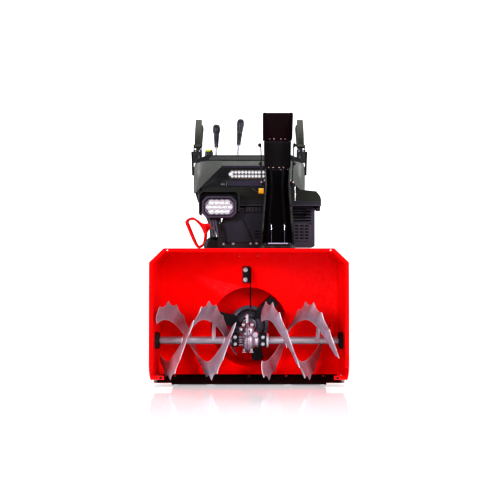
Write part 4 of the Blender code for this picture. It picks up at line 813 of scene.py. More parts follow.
def chute():
    """The chute channel on its round base, the fixed ring below it and the wire guard."""
    base = COLLAR_Z + 0.017
    stations = [(base, 0.0665, -0.03, 0.062), (0.62, 0.0615, -0.04, 0.056), (0.72, 0.0545, -0.044, 0.05),
        (0.81, 0.048, -0.046, 0.044), (CHUTE_TOP, 0.052, -0.046, 0.04)]
    mesh = bmesh.new()
    loops = []
    for lower, upper in zip(stations, stations[1:]):
        for step in range(6):
            share = step / 6
            row = [a + (b - a) * share for a, b in zip(lower, upper)]
            flange = 0.0045 * min(1.0, max(0.09, (CHUTE_TOP - row[0]) / 0.068))
            loops.append(u_section(*row, *CHUTE_SHEET, flange))
    loops.append(u_section(*stations[-1], *CHUTE_SHEET, 0.0004))
    add_loft(mesh, loops)
    foot = [(0.065, base - 0.002), (0.0745, base - 0.002), (0.0755, base - 0.001), (0.0755, base + 0.005),
        (0.0745, base + 0.006), (0.065, base + 0.006)]
    add_lathe(mesh, "Z", (CHUTE_X, CHUTE_DEPTH), foot, 64)
    arc = circle(CHUTE_X, CHUTE_DEPTH, 0.068, 28, radians(200), radians(140))
    arc += circle(CHUTE_X, CHUTE_DEPTH, 0.065, 28, radians(200), radians(140))[::-1]
    add_prism(mesh, "Z", arc, base, base + 0.012)
    as_piece("chute_skin", mesh, CHUTE_BLACK, "chute_body", bevel=0.0005, segments=1, angle=50,
        node="chute")
    ring = bmesh.new()
    add_lathe(ring, "Z", (CHUTE_X, CHUTE_DEPTH),
        [(0.065, COLLAR_Z), (0.0768, COLLAR_Z), (0.078, COLLAR_Z + 0.001), (0.078, COLLAR_Z + 0.006),
        (0.0762, COLLAR_Z + 0.0075), (0.078, COLLAR_Z + 0.009), (0.078, COLLAR_Z + 0.0135),
        (0.077, COLLAR_Z + 0.0145), (0.065, COLLAR_Z + 0.0145)], 64)
    as_piece("chute_collar_skin", ring, SKINS["black_plastic"], node="chute_collar")
    guard_depth = CHUTE_DEPTH - 0.0775
    foot_z = COLLAR_Z + 0.0235
    uprights = bmesh.new()
    hooks = bmesh.new()
    for side in (LEFT, RIGHT):
        x = CHUTE_X + side * 0.027
        bend = [(guard_depth + 0.008 - 0.008 * cos(radians(a)), 0.632 + 0.008 * sin(radians(a)))
            for a in range(0, 91, 15)]
        add_tube(uprights, [point(x, guard_depth, foot_z), point(x, guard_depth, 0.616)], 0.0015, 12)
        route = [point(x, guard_depth, 0.614)] + [point(x, depth, z) for depth, z in bend]
        add_tube(hooks, route + [point(x, guard_depth + 0.02, 0.6405)], 0.0017, 12)
    as_piece("chute_guard_uprights", uprights, GUARD_BLUE, "chute_body", node="chute_guard")
    as_piece("chute_guard_hooks", hooks, BRIGHT, "chute_body", node="chute_guard")
    bar = bmesh.new()
    add_tube(bar, [point(CHUTE_X - 0.041, guard_depth, foot_z + 0.002),
        point(CHUTE_X + 0.041, guard_depth, foot_z + 0.002)], 0.0027, 14)
    as_piece("chute_guard_bar", bar, GUARD_ZINC, "chute_body", node="chute_guard")


def deflector(name, body, joint, heights, halves, backs, fronts):
    """A U-shaped deflector stage with its hinge; the upper one has rounded upper corners."""
    upper = body == "upper_deflector"
    loops = []
    for share in [0.0, 0.02] + [i / 10 for i in range(1, 10)] + [0.94, 0.965, 0.985, 1.0]:
        z, half, back, front = (low + (high - low) * share
            for low, high in (heights, halves, backs, fronts))
        if upper and share > 0.93:
            into = (share - 0.93) / 0.07
            half -= 0.0075 * (1.0 - sqrt(max(0.0, 1.0 - into ** 2)))
        loops.append(u_section(z, half, front, back, *DEFLECTOR_SHEET))
    mesh = bmesh.new()
    add_loft(mesh, loops)
    x, depth, z = joint_place(joint)
    radius, lift = (0.0034, 0.0035) if upper else (0.0039, 0.0)
    for start in (-0.045, -0.012, 0.021):
        add_rod(mesh, "X", (depth, z + lift), radius, x + start, x + start + 0.024, 20)
    if not upper:
        strap = [(0.0148, 0.994), (0.0172, 0.993), (0.0162, 1.012), (0.0144, 1.012)]
        add_prism(mesh, "X", [(CHUTE_DEPTH + d, z) for d, z in strap], CHUTE_X - 0.056, CHUTE_X + 0.056)
    as_piece(name + "_skin", mesh, BROWN_BLACK, body, bevel=0.0005, segments=1, angle=50, node=name)


def deflectors():
    """Both deflector stages with their rivets, side links and the cable adjuster."""
    deflector("deflector_lower", "lower_deflector", "deflector_tilt", (0.8845, 0.995), (0.0555, 0.0568),
        (0.0415, 0.015), (-0.03, -0.05))
    deflector("deflector_upper", "upper_deflector", "upper_deflector_tilt", (1.002, 1.104),
        (0.0618, 0.0632), (0.0135, -0.07), (-0.052, -0.08))
    rivets("lower_hinge_rivets", "lower_deflector",
        [(CHUTE_X + x, CHUTE_DEPTH + 0.0372, 0.8905) for x in (-0.036, -0.0165, 0.0105, 0.029)],
        direction=(0, -1, -0.2), radius=0.0034, height=0.002, skin=PINK_RIVET)
    rivets("upper_hinge_rivets", "upper_deflector",
        [(CHUTE_X + x, CHUTE_DEPTH + 0.0065, 1.0085) for x in (-0.032, -0.0135, 0.0155, 0.034)],
        direction=(0, -1, -0.7), radius=0.0034, height=0.002, skin=PINK_RIVET)
    for side in (LEFT, RIGHT):
        link(side)
    adjuster = bmesh.new()
    add_lathe(adjuster, "Z", (CHUTE_X + 0.0755, CHUTE_DEPTH),
        [(0.0, 0.742), (0.0022, 0.742), (0.0022, 0.752), (0.0038, 0.754), (0.0038, 0.768), (0.0046, 0.77),
        (0.0046, 0.776), (0.0026, 0.778), (0.0026, 0.806), (0.0, 0.806)], 16)
    as_piece("cable_adjuster", adjuster, SKINS["zinc"], "chute_body", slot="zinc")


def link(side):
    """A side link with its foot, knob and bolts."""
    label = SIDE_NAMES[side]
    hinge_z = joint_place("deflector_link_swing")[2]
    low_x, high_x, knob_z = CHUTE_X + side * 0.0645, CHUTE_X + side * 0.0705, 0.981
    mesh = bmesh.new()
    loops = []
    for share in (0.0, 0.04, 0.96, 1.0):
        x = low_x + (high_x - low_x) * share
        z = hinge_z - 0.007 + (knob_z + 0.014 - hinge_z) * share
        half = 0.0068 if 0.0 < share < 1.0 else 0.004
        loops.append([point(x + u, CHUTE_DEPTH + v, z)
            for u, v in ((-0.0022, -half), (0.0022, -half), (0.0022, half), (-0.0022, half))])
    add_loft(mesh, loops)
    add_box(mesh, low_x - 0.0018, low_x + 0.0018, CHUTE_DEPTH - 0.004, CHUTE_DEPTH + 0.056,
        hinge_z - 0.009, hinge_z + 0.004)
    if side == RIGHT:
        add_box(mesh, CHUTE_X - 0.0663, CHUTE_X + 0.0663, CHUTE_DEPTH + 0.0525, CHUTE_DEPTH + 0.056,
            hinge_z - 0.009, hinge_z + 0.004)
        as_piece("deflector_links_skin", mesh, SKINS["black_paint"], "link_pair", bevel=0.0005,
            segments=1, node="deflector_links")
    else:
        as_piece("deflector_link_left", mesh, SKINS["black_paint"], "link_pair", bevel=0.0005, segments=1,
            slot="black_paint")
    knob = bmesh.new()
    profile = [(0.0, 0.0019), (0.0085, 0.0019), (0.0095, 0.003), (0.0095, 0.006), (0.0055, 0.0075),
        (0.0055, 0.0115), (0.0, 0.012)]
    for x, z in ((high_x, knob_z), (low_x + side * 0.0025, 0.902)):
        add_lathe(knob, "X", (CHUTE_DEPTH, z), [(r, x + side * a) for r, a in profile], 12)
        add_box(knob, *sorted((x + side * 0.006, x + side * 0.0085)), CHUTE_DEPTH - 0.013,
            CHUTE_DEPTH + 0.013, z - 0.0025, z + 0.0025)
    as_piece("link_knob_" + label, knob, SKINS["black_plastic"], "link_pair", bevel=0.0006,
        slot="black_plastic")
    bolts("link_bolt_" + label, "link_pair", [(low_x - side * 0.0005, CHUTE_DEPTH, hinge_z)],
        direction=(side, 0, 0), radius=0.0052, height=0.0068, washer=0.0072)
    bolts("chute_side_bolts_" + label, "chute_body",
        [(CHUTE_X + side * 0.0478, CHUTE_DEPTH - 0.015, 0.828)], direction=(side, 0, 0), radius=0.0048,
        height=0.009, washer=0.0066)


# Lamp

LAMP_X, LAMP_DEPTH, LAMP_Z = joint_place("lamp_tilt")


def octagon(x, z, half_x, half_z, corner):
    """A rectangle with cut corners."""
    points = []
    for sx, sz, first in ((-1, -1, False), (1, -1, True), (1, 1, False), (-1, 1, True)):
        pair = [(x + sx * half_x, z + sz * (half_z - corner)),
            (x + sx * (half_x - corner), z + sz * half_z)]
        points += pair[::-1] if first else pair
    return points


def add_frame(mesh, rings):
    """A closed frame from octagon rings, each given as half_x, half_z, corner and depth."""
    loops = [[point(x, depth, z) for x, z in octagon(LAMP_X, LAMP_Z, half_x, half_z, corner)] for half_x,
        half_z, corner, depth in rings]
    verts = [[mesh.verts.new(place) for place in loop] for loop in loops]
    for near, far in zip(verts, verts[1:] + verts[:1]):
        add_band(mesh, near, far)


def lamp():
    """The work lamp: bevelled bezel, finned back, thirteen reflector cups, visor, post and lead."""
    front = LAMP_DEPTH - 0.027
    bezel = bmesh.new()
    add_frame(bezel, [(0.0762, 0.0484, 0.0215, front + 0.02), (0.0762, 0.0484, 0.0215, front + 0.004),
        (0.0735, 0.0457, 0.0205, front), (0.0668, 0.039, 0.018, front),
        (0.064, 0.0362, 0.017, front + 0.004), (0.063, 0.0345, 0.0165, front + 0.0135),
        (0.063, 0.0345, 0.0165, front + 0.02)])
    add_loft(bezel, [[point(x, depth, z) for x, z in octagon(LAMP_X, LAMP_Z, half_x, half_z, 0.018)]
        for depth, half_x, half_z in ((front + 0.0142, 0.064, 0.038), (LAMP_DEPTH + 0.004, 0.064, 0.038),
        (LAMP_DEPTH + 0.006, 0.062, 0.036))])
    for x in range(-5, 6):
        add_box(bezel, LAMP_X + 0.0105 * x - 0.0018, LAMP_X + 0.0105 * x + 0.0018, LAMP_DEPTH + 0.004,
            LAMP_DEPTH + 0.0085, LAMP_Z - 0.026, LAMP_Z + 0.026)
    add_rod(bezel, "X", (LAMP_DEPTH, LAMP_Z), 0.009, LAMP_X - 0.0775, LAMP_X + 0.0775, 24)
    as_piece("lamp_housing_skin", bezel, LAMP_VIOLET, "lamp", bevel=0.0008, node="lamp_housing")
    base = bmesh.new()
    add_prism(base, "Y", octagon(LAMP_X, LAMP_Z, 0.0617, 0.0332, 0.0155), front + 0.0095, front + 0.0135)
    cups = bmesh.new()
    cores = bmesh.new()
    cup_front = front + 0.0035
    for row, count in ((-1, 4), (0, 5), (1, 4)):
        for i in range(count):
            x, z = LAMP_X + 0.0222 * (i - (count - 1) / 2), LAMP_Z + 0.0182 * row
            add_lathe(cups, "Y", (x, z), [(0.0, cup_front + 0.003), (0.003, cup_front + 0.0032),
                (0.0075, cup_front + 0.002), (0.0108, cup_front + 0.0006), (0.0126, cup_front),
                (0.014, cup_front + 0.001), (0.014, front + 0.01), (0.0, front + 0.01)], 28)
            add_dome(cores, (x, cup_front + 0.0034, z), (0, -1, 0), 0.003, 0.0018)
    # The cups, cores and lens carry a painted glow.
    as_piece("lamp_cups", cups, LED_CUP, "lamp", slot="lens")
    as_piece("lamp_cores", cores, LED_CORE, "lamp", slot="lens")
    as_piece("lamp_lens_skin", base, SKINS["lens"], "lamp", bevel=0.0005, node="lamp_lens")
    outer, inner, top = 0.088, 0.0825, LAMP_Z + 0.0685
    visor = bmesh.new()
    shell = []
    for reach, level, bend in ((outer, top, 0.022), (inner, top - 0.005, 0.018)):
        side = [(-reach, LAMP_Z - 0.02)]
        side += [(-reach + bend - bend * cos(radians(a)), level - bend + bend * sin(radians(a)))
            for a in range(0, 91, 10)]
        line = side + [(-x, z) for x, z in side[::-1]]
        shell.append([(LAMP_X + x, z) for x, z in line])
    add_prism(visor, "Y", shell[0] + shell[1][::-1], LAMP_DEPTH - 0.028, LAMP_DEPTH + 0.027)
    add_box(visor, LAMP_X - 0.083, LAMP_X + 0.083, LAMP_DEPTH + 0.023, LAMP_DEPTH + 0.027, LAMP_Z - 0.02,
        top - 0.004)
    add_prism(visor, "Y", [(-0.188, LAMP_Z - 0.005), (-0.126, LAMP_Z - 0.005), (-0.122, 0.64),
        (-0.119, 0.56), (-0.119, 0.36), (-0.136, 0.36), (-0.138, 0.6), (-0.17, 0.65)], LAMP_DEPTH + 0.018,
        LAMP_DEPTH + 0.026)
    add_box(visor, -0.136, -0.119, 0.4626, LAMP_DEPTH + 0.023, 0.36, 0.425)
    for x in (LAMP_X - 0.0805, LAMP_X + 0.0795):
        add_rod(visor, "X", (LAMP_DEPTH, LAMP_Z), 0.004, x - 0.002, x + 0.003, 16)
    as_piece("lamp_bracket_skin", visor, SKINS["black_paint"], bevel=0.0008, node="lamp_bracket")
    ribs = bmesh.new()
    for x in (-0.17, -0.159, -0.148):
        add_prism(ribs, "Y", [(x - 0.004, 0.668), (x + 0.004, 0.668), (x + 0.016, 0.59),
            (x + 0.009, 0.59)], LAMP_DEPTH + 0.011, LAMP_DEPTH + 0.0185)
    as_piece("lamp_post_ribs", ribs, LAMP_VIOLET, bevel=0.0015, slot="black_plastic")
    lead = bmesh.new()
    add_tube(lead, smooth_route([(-0.128, LAMP_DEPTH + 0.012, 0.672), (-0.126, LAMP_DEPTH + 0.006, 0.655),
        (-0.116, LAMP_DEPTH + 0.008, 0.63), (-0.108, LAMP_DEPTH + 0.01, 0.6),
        (-0.104, LAMP_DEPTH + 0.014, 0.56)], 0.006), 0.0034, 12)
    as_piece("lamp_lead", lead, SKINS["belt_rubber"], slot="belt_rubber")
    bolts("lamp_bolts", "machine", [(-0.127, LAMP_DEPTH + 0.016, 0.6635),
        (-0.1265, LAMP_DEPTH + 0.016, 0.652)], radius=0.0036, height=0.004, washer=0.005)
    arm = bmesh.new()
    add_prism(arm, "Y", [(-0.2125, LAMP_Z + 0.018), (-0.206, LAMP_Z + 0.018), (-0.206, LAMP_Z - 0.036),
        (-0.215, LAMP_Z - 0.034), (-0.22, LAMP_Z - 0.022), (-0.216, LAMP_Z - 0.016)], LAMP_DEPTH - 0.006,
        LAMP_DEPTH + 0.012)
    as_piece("lamp_arm", arm, SKINS["black_paint"], bevel=0.0012, slot="black_paint")


# Covers

def panel(name, skin, outline, front, back, bevel=0.002, slot="cover_plastic"):
    """A flat moulding on the front of a cover."""
    mesh = bmesh.new()
    add_prism(mesh, "Y", outline, front, back)
    as_piece(name, mesh, skin, bevel=bevel, segments=3, slot=slot)


def slots(name, places, half_x, half_z, front, back):
    """Black patches where vent openings are; the black is painted shade standing in for the dark inside each
    opening.
    """
    mesh = bmesh.new()
    for x, z in places:
        add_box(mesh, x - half_x, x + half_x, front, back, z - half_z, z + half_z)
    as_piece(name, mesh, DEEP_BLACK, bevel=0.0006, slot="cover_plastic")


BELT_FACE, HOOD_FACE = 0.488, 0.501


def belt_guard():
    """The belt cover with its raised panels, slanting seam, vents and duct."""
    refine("belt_cover", 0.003, 3)
    # The raised panels are blue from a painted sheen.
    panel("belt_panel_left", BELT_PAINTED_BLUE_SHEEN, [(-0.12, 0.566), (0.018, 0.566), (-0.0275, 0.6655),
        (-0.07, 0.6655), (-0.118, 0.652)], 0.48, BELT_FACE, 0.0025)
    panel("belt_panel_right", BELT_PAINTED_BLUE_SHEEN, [(0.0225, 0.567), (0.124, 0.567), (0.124, 0.7), (-0.018, 0.7),
        (-0.0235, 0.668)], 0.4825, BELT_FACE, 0.0025)
    # Black patches of painted shade where the vents open.
    slots("belt_vents", [(0.036, z) for z in (0.617, 0.6035, 0.59)], 0.011, 0.0032, 0.4818, 0.484)
    duct = bmesh.new()
    for i in range(5):
        low = -0.014 + 0.0142 * i
        add_box(duct, low, low + 0.0112, 0.479, BELT_FACE, 0.7, 0.724)
    add_box(duct, -0.016, 0.062, 0.4815, BELT_FACE, 0.7, 0.724)
    as_piece("belt_duct", duct, SKINS["cover_plastic"], bevel=0.0016, slot="cover_plastic")
    bolts("belt_bolts", "machine", [(-0.07, 0.486, 0.5625), (0.0066, 0.486, 0.563), (0.033, 0.486, 0.564),
        (-0.112, 0.486, 0.56)], radius=0.0042, height=0.006, washer=0.0062)


def hood():
    """The engine hood with its skirt, whose violet tint is a painted sheen, its lip, pull line and yellow latch.
    """
    refine("engine_hood", 0.005, 4, HOOD_GREEN)
    panel("hood_skirt", SKINS["cover_plastic"],
        [(-0.222, 0.73), (0.3175, 0.73), (0.3175, 0.75), (0.2, 0.756), (-0.222, 0.756)], 0.4965,
        HOOD_FACE, 0.0015)
    panel("hood_lip", LAMP_VIOLET, rectangle(-0.222, 0.3182, 0.7285, 0.7335), 0.493, HOOD_FACE, 0.0015)
    panel("hood_line", PANEL_GREY, [(0.012, 0.806), (0.0165, 0.806), (0.056, 0.7745), (0.056, 0.778)],
        0.4975, HOOD_FACE, 0.0005, "black_plastic")
    latch = bmesh.new()
    add_loft(latch, [[point(x, d, z) for x, d in ((0.0415, 0.5005), (0.0645, 0.5005), (0.0645, front),
        (0.0415, front))] for z, front in ((0.7815, 0.4975), (0.786, 0.4925), (0.801, 0.4925),
        (0.8065, 0.4975))])
    as_piece("hood_latch", latch, YELLOW, bevel=0.0018, segments=3, slot="black_plastic")
    knob = bmesh.new()
    add_lathe(knob, "X", (0.52, 0.718), [(0.0, 0.296), (0.009, 0.296), (0.011, 0.299), (0.011, 0.312),
        (0.009, 0.315), (0.0, 0.315)], 24)
    add_box(knob, 0.303, 0.309, 0.517, 0.523, 0.718, 0.732)
    as_piece("hood_side_knob", knob, SKINS["black_plastic"], bevel=0.0005, slot="black_plastic")


def muffler():
    """The slatted muffler guard with its framed grid; its slots and holes are black patches of painted shade."""
    refine("muffler_guard", 0.004, 3, LAMP_VIOLET)
    rows = [0.7225 - 0.0105 * i for i in range(5)]
    slots("muffler_slots", [(0.244, z) for z in rows] + [(0.2095, z) for z in rows], 0.0165, 0.0026,
        0.5992, 0.6025)
    panel("muffler_band", DEEP_BLACK, rectangle(0.195, 0.27, 0.6655, 0.67), 0.599, 0.601, 0.0004)
    mesh = bmesh.new()
    outline = octagon(0.24, 0.618, 0.042, 0.042, 0.01)
    add_prism(mesh, "Y", outline, 0.5955, 0.6005)
    as_piece("muffler_frame", mesh, LAMP_VIOLET, bevel=0.0022, segments=3, slot="cover_plastic")
    slots("muffler_grid", [(x, 0.646 - 0.014 * i) for i in range(5) for x in (0.216, 0.2395, 0.262)],
        0.0085, 0.0036, 0.595, 0.5975)


# Console

CONSOLE_FACE = 0.951


def console_wing(side):
    """A grey wing of the panel, with the dark ridges and the tab inside it."""
    label = SIDE_NAMES[side]
    rows = [[(-0.278, 0.949, 0.979), (-0.248, 0.94, 0.9915), (-0.213, 0.942, 0.996),
        (-0.14, 0.943, 0.996)], [(-0.28, 0.949, 0.95), (-0.254, 0.938, 0.956), (-0.208, 0.9415, 0.962),
        (-0.14, 0.944, 0.966)], [(-0.282, 0.949, 0.9), (-0.256, 0.9375, 0.906), (-0.214, 0.94, 0.915),
        (-0.183, 0.944, 0.9235)], [(-0.283, 0.949, 0.829), (-0.2765, 0.944, 0.83), (-0.27, 0.943, 0.8335),
        (-0.264, 0.944, 0.8395)]]
    mesh = bmesh.new()
    front = [[mesh.verts.new(point(-side * x, d, z)) for x, d, z in row] for row in rows]
    back = [[mesh.verts.new(point(-side * x, CONSOLE_FACE, z)) for x, _, z in row] for row in rows]
    for sheet in (front, back):
        for near, far in zip(sheet, sheet[1:]):
            add_band(mesh, near, far, closed=False)
    for j in (0, -1):
        add_band(mesh, [row[j] for row in front], [row[j] for row in back], closed=False)
        add_band(mesh, front[j], back[j], closed=False)
    as_piece("console_wing_" + label, mesh, PANEL_GREY, bevel=0.0008, subdivide=1, slot="cover_plastic")
    ridges = bmesh.new()
    for z, wide in ((0.937, 0.026), (0.927, 0.034), (0.917, 0.04)):
        add_box(ridges, *span(side, 0.125, 0.125 + wide), 0.944, CONSOLE_FACE, z - 0.0028, z + 0.0028)
    as_piece("console_ridges_" + label, ridges, PANEL_DARK, bevel=0.0012, slot="cover_plastic")
    tab = bmesh.new()
    add_box(tab, *span(side, 0.122, 0.144), 0.944, CONSOLE_FACE, 0.871, 0.88)
    add_box(tab, *span(side, 0.1125, 0.116), 0.942, CONSOLE_FACE, 0.864, 0.893)
    as_piece("console_tab_" + label, tab, PANEL_GREY, bevel=0.0008, slot="cover_plastic")


def console():
    """The panel: grey wings and top strip, a black plate of painted shade where the recess is, a light bar with a
    painted glow, and a gloss strip with a painted violet sheen.
    """
    refine("dash_console", 0.003, 3, PANEL_DARK)
    for side in (LEFT, RIGHT):
        console_wing(side)
    panel("console_strip", PANEL_GREY, rectangle(-0.14, 0.14, 0.969, 0.995), 0.9432, CONSOLE_FACE, 0.0012)
    panel("console_bezel", BEZEL_GREY, [(-0.208, 0.9975), (0.208, 0.9975), (0.196, 1.017),
        (-0.196, 1.017)], 0.9405, CONSOLE_FACE, 0.003)
    # The gloss strips are violet from a painted sheen.
    panel("console_line", GLOSS_PAINTED_VIOLET_SHEEN, rectangle(-0.14, 0.14, 0.9605, 0.9665), 0.944, CONSOLE_FACE,
        0.0008)
    panel("console_gloss", GLOSS_PAINTED_VIOLET_SHEEN, rectangle(-0.1085, 0.1085, 0.866, 0.891), 0.944, CONSOLE_FACE,
        0.002)
    # A flat black plate: painted shade standing in for the recess under the panel.
    panel("console_lower", DEEP_BLACK, [(-0.255, 0.837), (-0.12, 0.812), (0.12, 0.812), (0.255, 0.837),
        (0.183, 0.856), (-0.183, 0.856)], 0.947, CONSOLE_FACE, 0.001)
    base = bmesh.new()
    add_prism(base, "Y", [(-0.1025, 0.9153), (-0.0927, 0.9055), (0.0927, 0.9055), (0.1025, 0.9153),
        (0.1025, 0.9397), (0.0927, 0.9495), (-0.0927, 0.9495), (-0.1025, 0.9397)], 0.952, 0.9565)
    # The light bar's base carries a painted glow.
    as_piece("dash_light_skin", base, LED_WARM, bevel=0.0004, node="dash_light_lens")
    cups = bmesh.new()
    spacing = 0.0172
    for row in (-1, 1):
        for i in range(11):
            add_lathe(cups, "Y", (spacing * (i - 5), 0.9275 + 0.0098 * row),
                [(0.0, 0.9515), (0.0025, 0.9512), (0.006, 0.949), (0.0078, 0.9482), (0.0086, 0.949),
                (0.0086, 0.9525), (0.0, 0.9525)], 6)
    for side in (LEFT, RIGHT):
        add_lathe(cups, "Y", (side * 0.0955, 0.9275),
            [(0.0, 0.95), (0.005, 0.9488), (0.009, 0.9478), (0.0104, 0.949), (0.0104, 0.9525),
            (0.0, 0.9525)], 6)
    # The light-bar cups carry a painted glow.
    as_piece("dash_light_cups", cups, DASH_CUP, slot="lens")


# Controls

GRIP_X = 0.275
GRIP_DIRECTION = Vector((0, 0.13, 0.134)).normalized()


def handle_route(side):
    """Places along the middle of a handle tube, from the frame to the grip's end."""
    return [(side * 0.1865, 0.8, 0.32), (side * 0.1865, 0.872, 0.48), (side * 0.19, 0.906, 0.66),
        (side * 0.245, 0.93, 0.79), (side * 0.256, 1.01, 0.93), (side * 0.27, 1.105, 1.045),
        (side * GRIP_X, 1.165, 1.102), (side * GRIP_X, 1.29, 1.231)]


def handles():
    """Both handle tubes with their brackets, pins and cross tube."""
    mesh = bmesh.new()
    for side in (LEFT, RIGHT):
        add_tube(mesh, smooth_route(handle_route(side), 0.018), 0.012, 24)
        add_box(mesh, *span(side, 0.1705, 0.18), 0.785, 0.845, 0.315, 0.395)
        add_box(mesh, *span(side, 0.253, 0.297), 1.1, 1.14, 1.01, 1.078)
        for x in (0.2535, 0.2935):
            add_box(mesh, *span(side, x, x + 0.003), 1.1015, 1.1225, 1.07, 1.106)
        add_rod(mesh, "X", (1.112, 1.096), 0.004, side * 0.255, side * 0.295, 20)
        add_rod(mesh, "X", (1.12, 1.062), 0.003, side * 0.296, side * 0.3105, 16)
    add_rod(mesh, "X", (0.93, 0.787), 0.0105, -0.243, 0.243, 24)
    as_piece("handlebar_skin", mesh, SKINS["black_paint"], bevel=0.001, angle=50, node="handlebar")


def hand_controls(side):
    """A ribbed rubber grip, its lever paddle, its trigger and the screws beside them."""
    label = SIDE_NAMES[side]
    mesh = bmesh.new()
    profile = [(0.0128, 0.0), (0.0205, 0.0), (0.0216, 0.002), (0.0216, 0.008), (0.0196, 0.01)]
    for i in range(12):
        low = 0.014 + 0.0125 * i
        profile += [(0.0193, low), (0.0204, low + 0.002), (0.0204, low + 0.0085), (0.0193, low + 0.0105)]
    profile += [(0.019, 0.17), (0.0172, 0.181), (0.013, 0.1875), (0.006, 0.1898), (0.0, 0.19),
        (0.0, 0.186), (0.0128, 0.186)]
    add_lathe(mesh, "Z", (0.0, -FRONT), profile, 36)
    lean = Z_AXIS.rotation_difference(GRIP_DIRECTION).to_matrix().to_4x4()
    mesh.transform(Matrix.Translation(point(side * GRIP_X, 1.172, 1.1092)) @ lean)
    as_piece("grip_" + label + "_skin", mesh, SKINS["grip_rubber"], BODY_OF["grip_" + label],
        node="grip_" + label)
    name = [node for node in ("auger_clutch_lever", "drive_clutch_lever")
        if edges_of(node)[0] * side > 0][0]
    refine(name, 0.0045, 4, SKINS["grip_rubber"])
    refine("steering_trigger_" + label, 0.0012, 2)
    bolts("bracket_screws_" + label, "machine",
        [(side * 0.285, 1.0995, 1.07), (side * 0.264, 1.0995, 1.07)], radius=0.003, height=0.002)


def add_knob(mesh, bend, top, head):
    """A moulded stick knob: slim waist, finger grooves and a full head."""
    profile = [(0.0, bend - 0.004), (head * 0.5, bend - 0.004), (head * 0.56, bend - 0.001),
        (head * 0.54, bend + 0.01)]
    for i in range(4):
        low = bend + 0.014 + 0.011 * i
        width = 0.55 + 0.045 * i
        profile += [(head * width, low), (head * (width + 0.05), low + 0.003),
            (head * (width + 0.05), low + 0.007), (head * width, low + 0.009)]
    profile += [(head * 0.8, bend + 0.07), (head * 0.95, top - 0.038), (head, top - 0.026),
        (head * 0.97, top - 0.016), (head * 0.8, top - 0.006), (head * 0.45, top - 0.001), (0.0, top)]
    add_lathe(mesh, "Z", (0.0, -FRONT), profile, 32)


def sticks():
    """Gear stick, chute stick and throttle knob."""
    for node, body, joint, bend, top, head, lean in (("shift_lever", "shift", "shift_lever_swing", 0.118,
            0.232, 0.0195, 0.0), ("joystick", "chute_joystick", "joystick_swing", 0.106, 0.236, 0.019,
            5.0)):
        place = Matrix.Translation(point(*joint_place(joint))) @ Matrix.Rotation(radians(lean), 4, Y_AXIS)
        knob = bmesh.new()
        add_knob(knob, bend, top, head)
        add_rod(knob, "Z", (0.0, -FRONT), 0.0045, 0.0, 0.06, 16)
        knob.transform(place)
        as_piece(node + "_skin", knob, SKINS["knob_plastic"], body, node=node)
        steel = bmesh.new()
        add_lathe(steel, "Z", (0.0, -FRONT), [(0.0, 0.045), (0.0049, 0.045), (0.0049, bend - 0.01),
            (0.0072, bend - 0.009), (0.0072, bend - 0.0035), (0.0, bend - 0.0035)], 24)
        steel.transform(place)
        as_piece(node + "_rod", steel, STEEL_ROD, body, slot="zinc")
    refine("throttle_knob", 0.002, 3)
    x0, x1, d0, _, _, z1 = edges_of("throttle_knob")
    mark = bmesh.new()
    add_box(mark, x0 + 0.01, x1 - 0.012, d0 - 0.0012, d0 + 0.008, z1 - 0.013, z1 - 0.002)
    as_piece("throttle_mark", mark, LIME, "throttle", bevel=0.0015, slot="knob_plastic")
    x, depth, z = joint_place("joystick_swing")
    boot = bmesh.new()
    radius = 0.04
    add_lathe(boot, "Z", (x, depth), [(0.0, z + 0.024), (0.032, z + 0.024)]
        + [(radius * cos(radians(a)), z + radius * sin(radians(a))) for a in range(38, 88, 5)]
        + [(0.0, z + radius)], 32)
    as_piece("joystick_boot", boot, SKINS["belt_rubber"], "chute_joystick", slot="knob_plastic")
    x, depth, z = joint_place("shift_lever_swing")
    slide = bmesh.new()
    arcs = [[(depth + reach * sin(radians(a)), z + reach * cos(radians(a))) for a in range(-42, 43, 6)]
        for reach in (0.06, 0.058)]
    add_prism(slide, "X", arcs[0] + arcs[1][::-1], x - 0.0055, x + 0.0055)
    as_piece("shift_slide", slide, SKINS["belt_rubber"], "shift", slot="knob_plastic")


# Engine and wheels

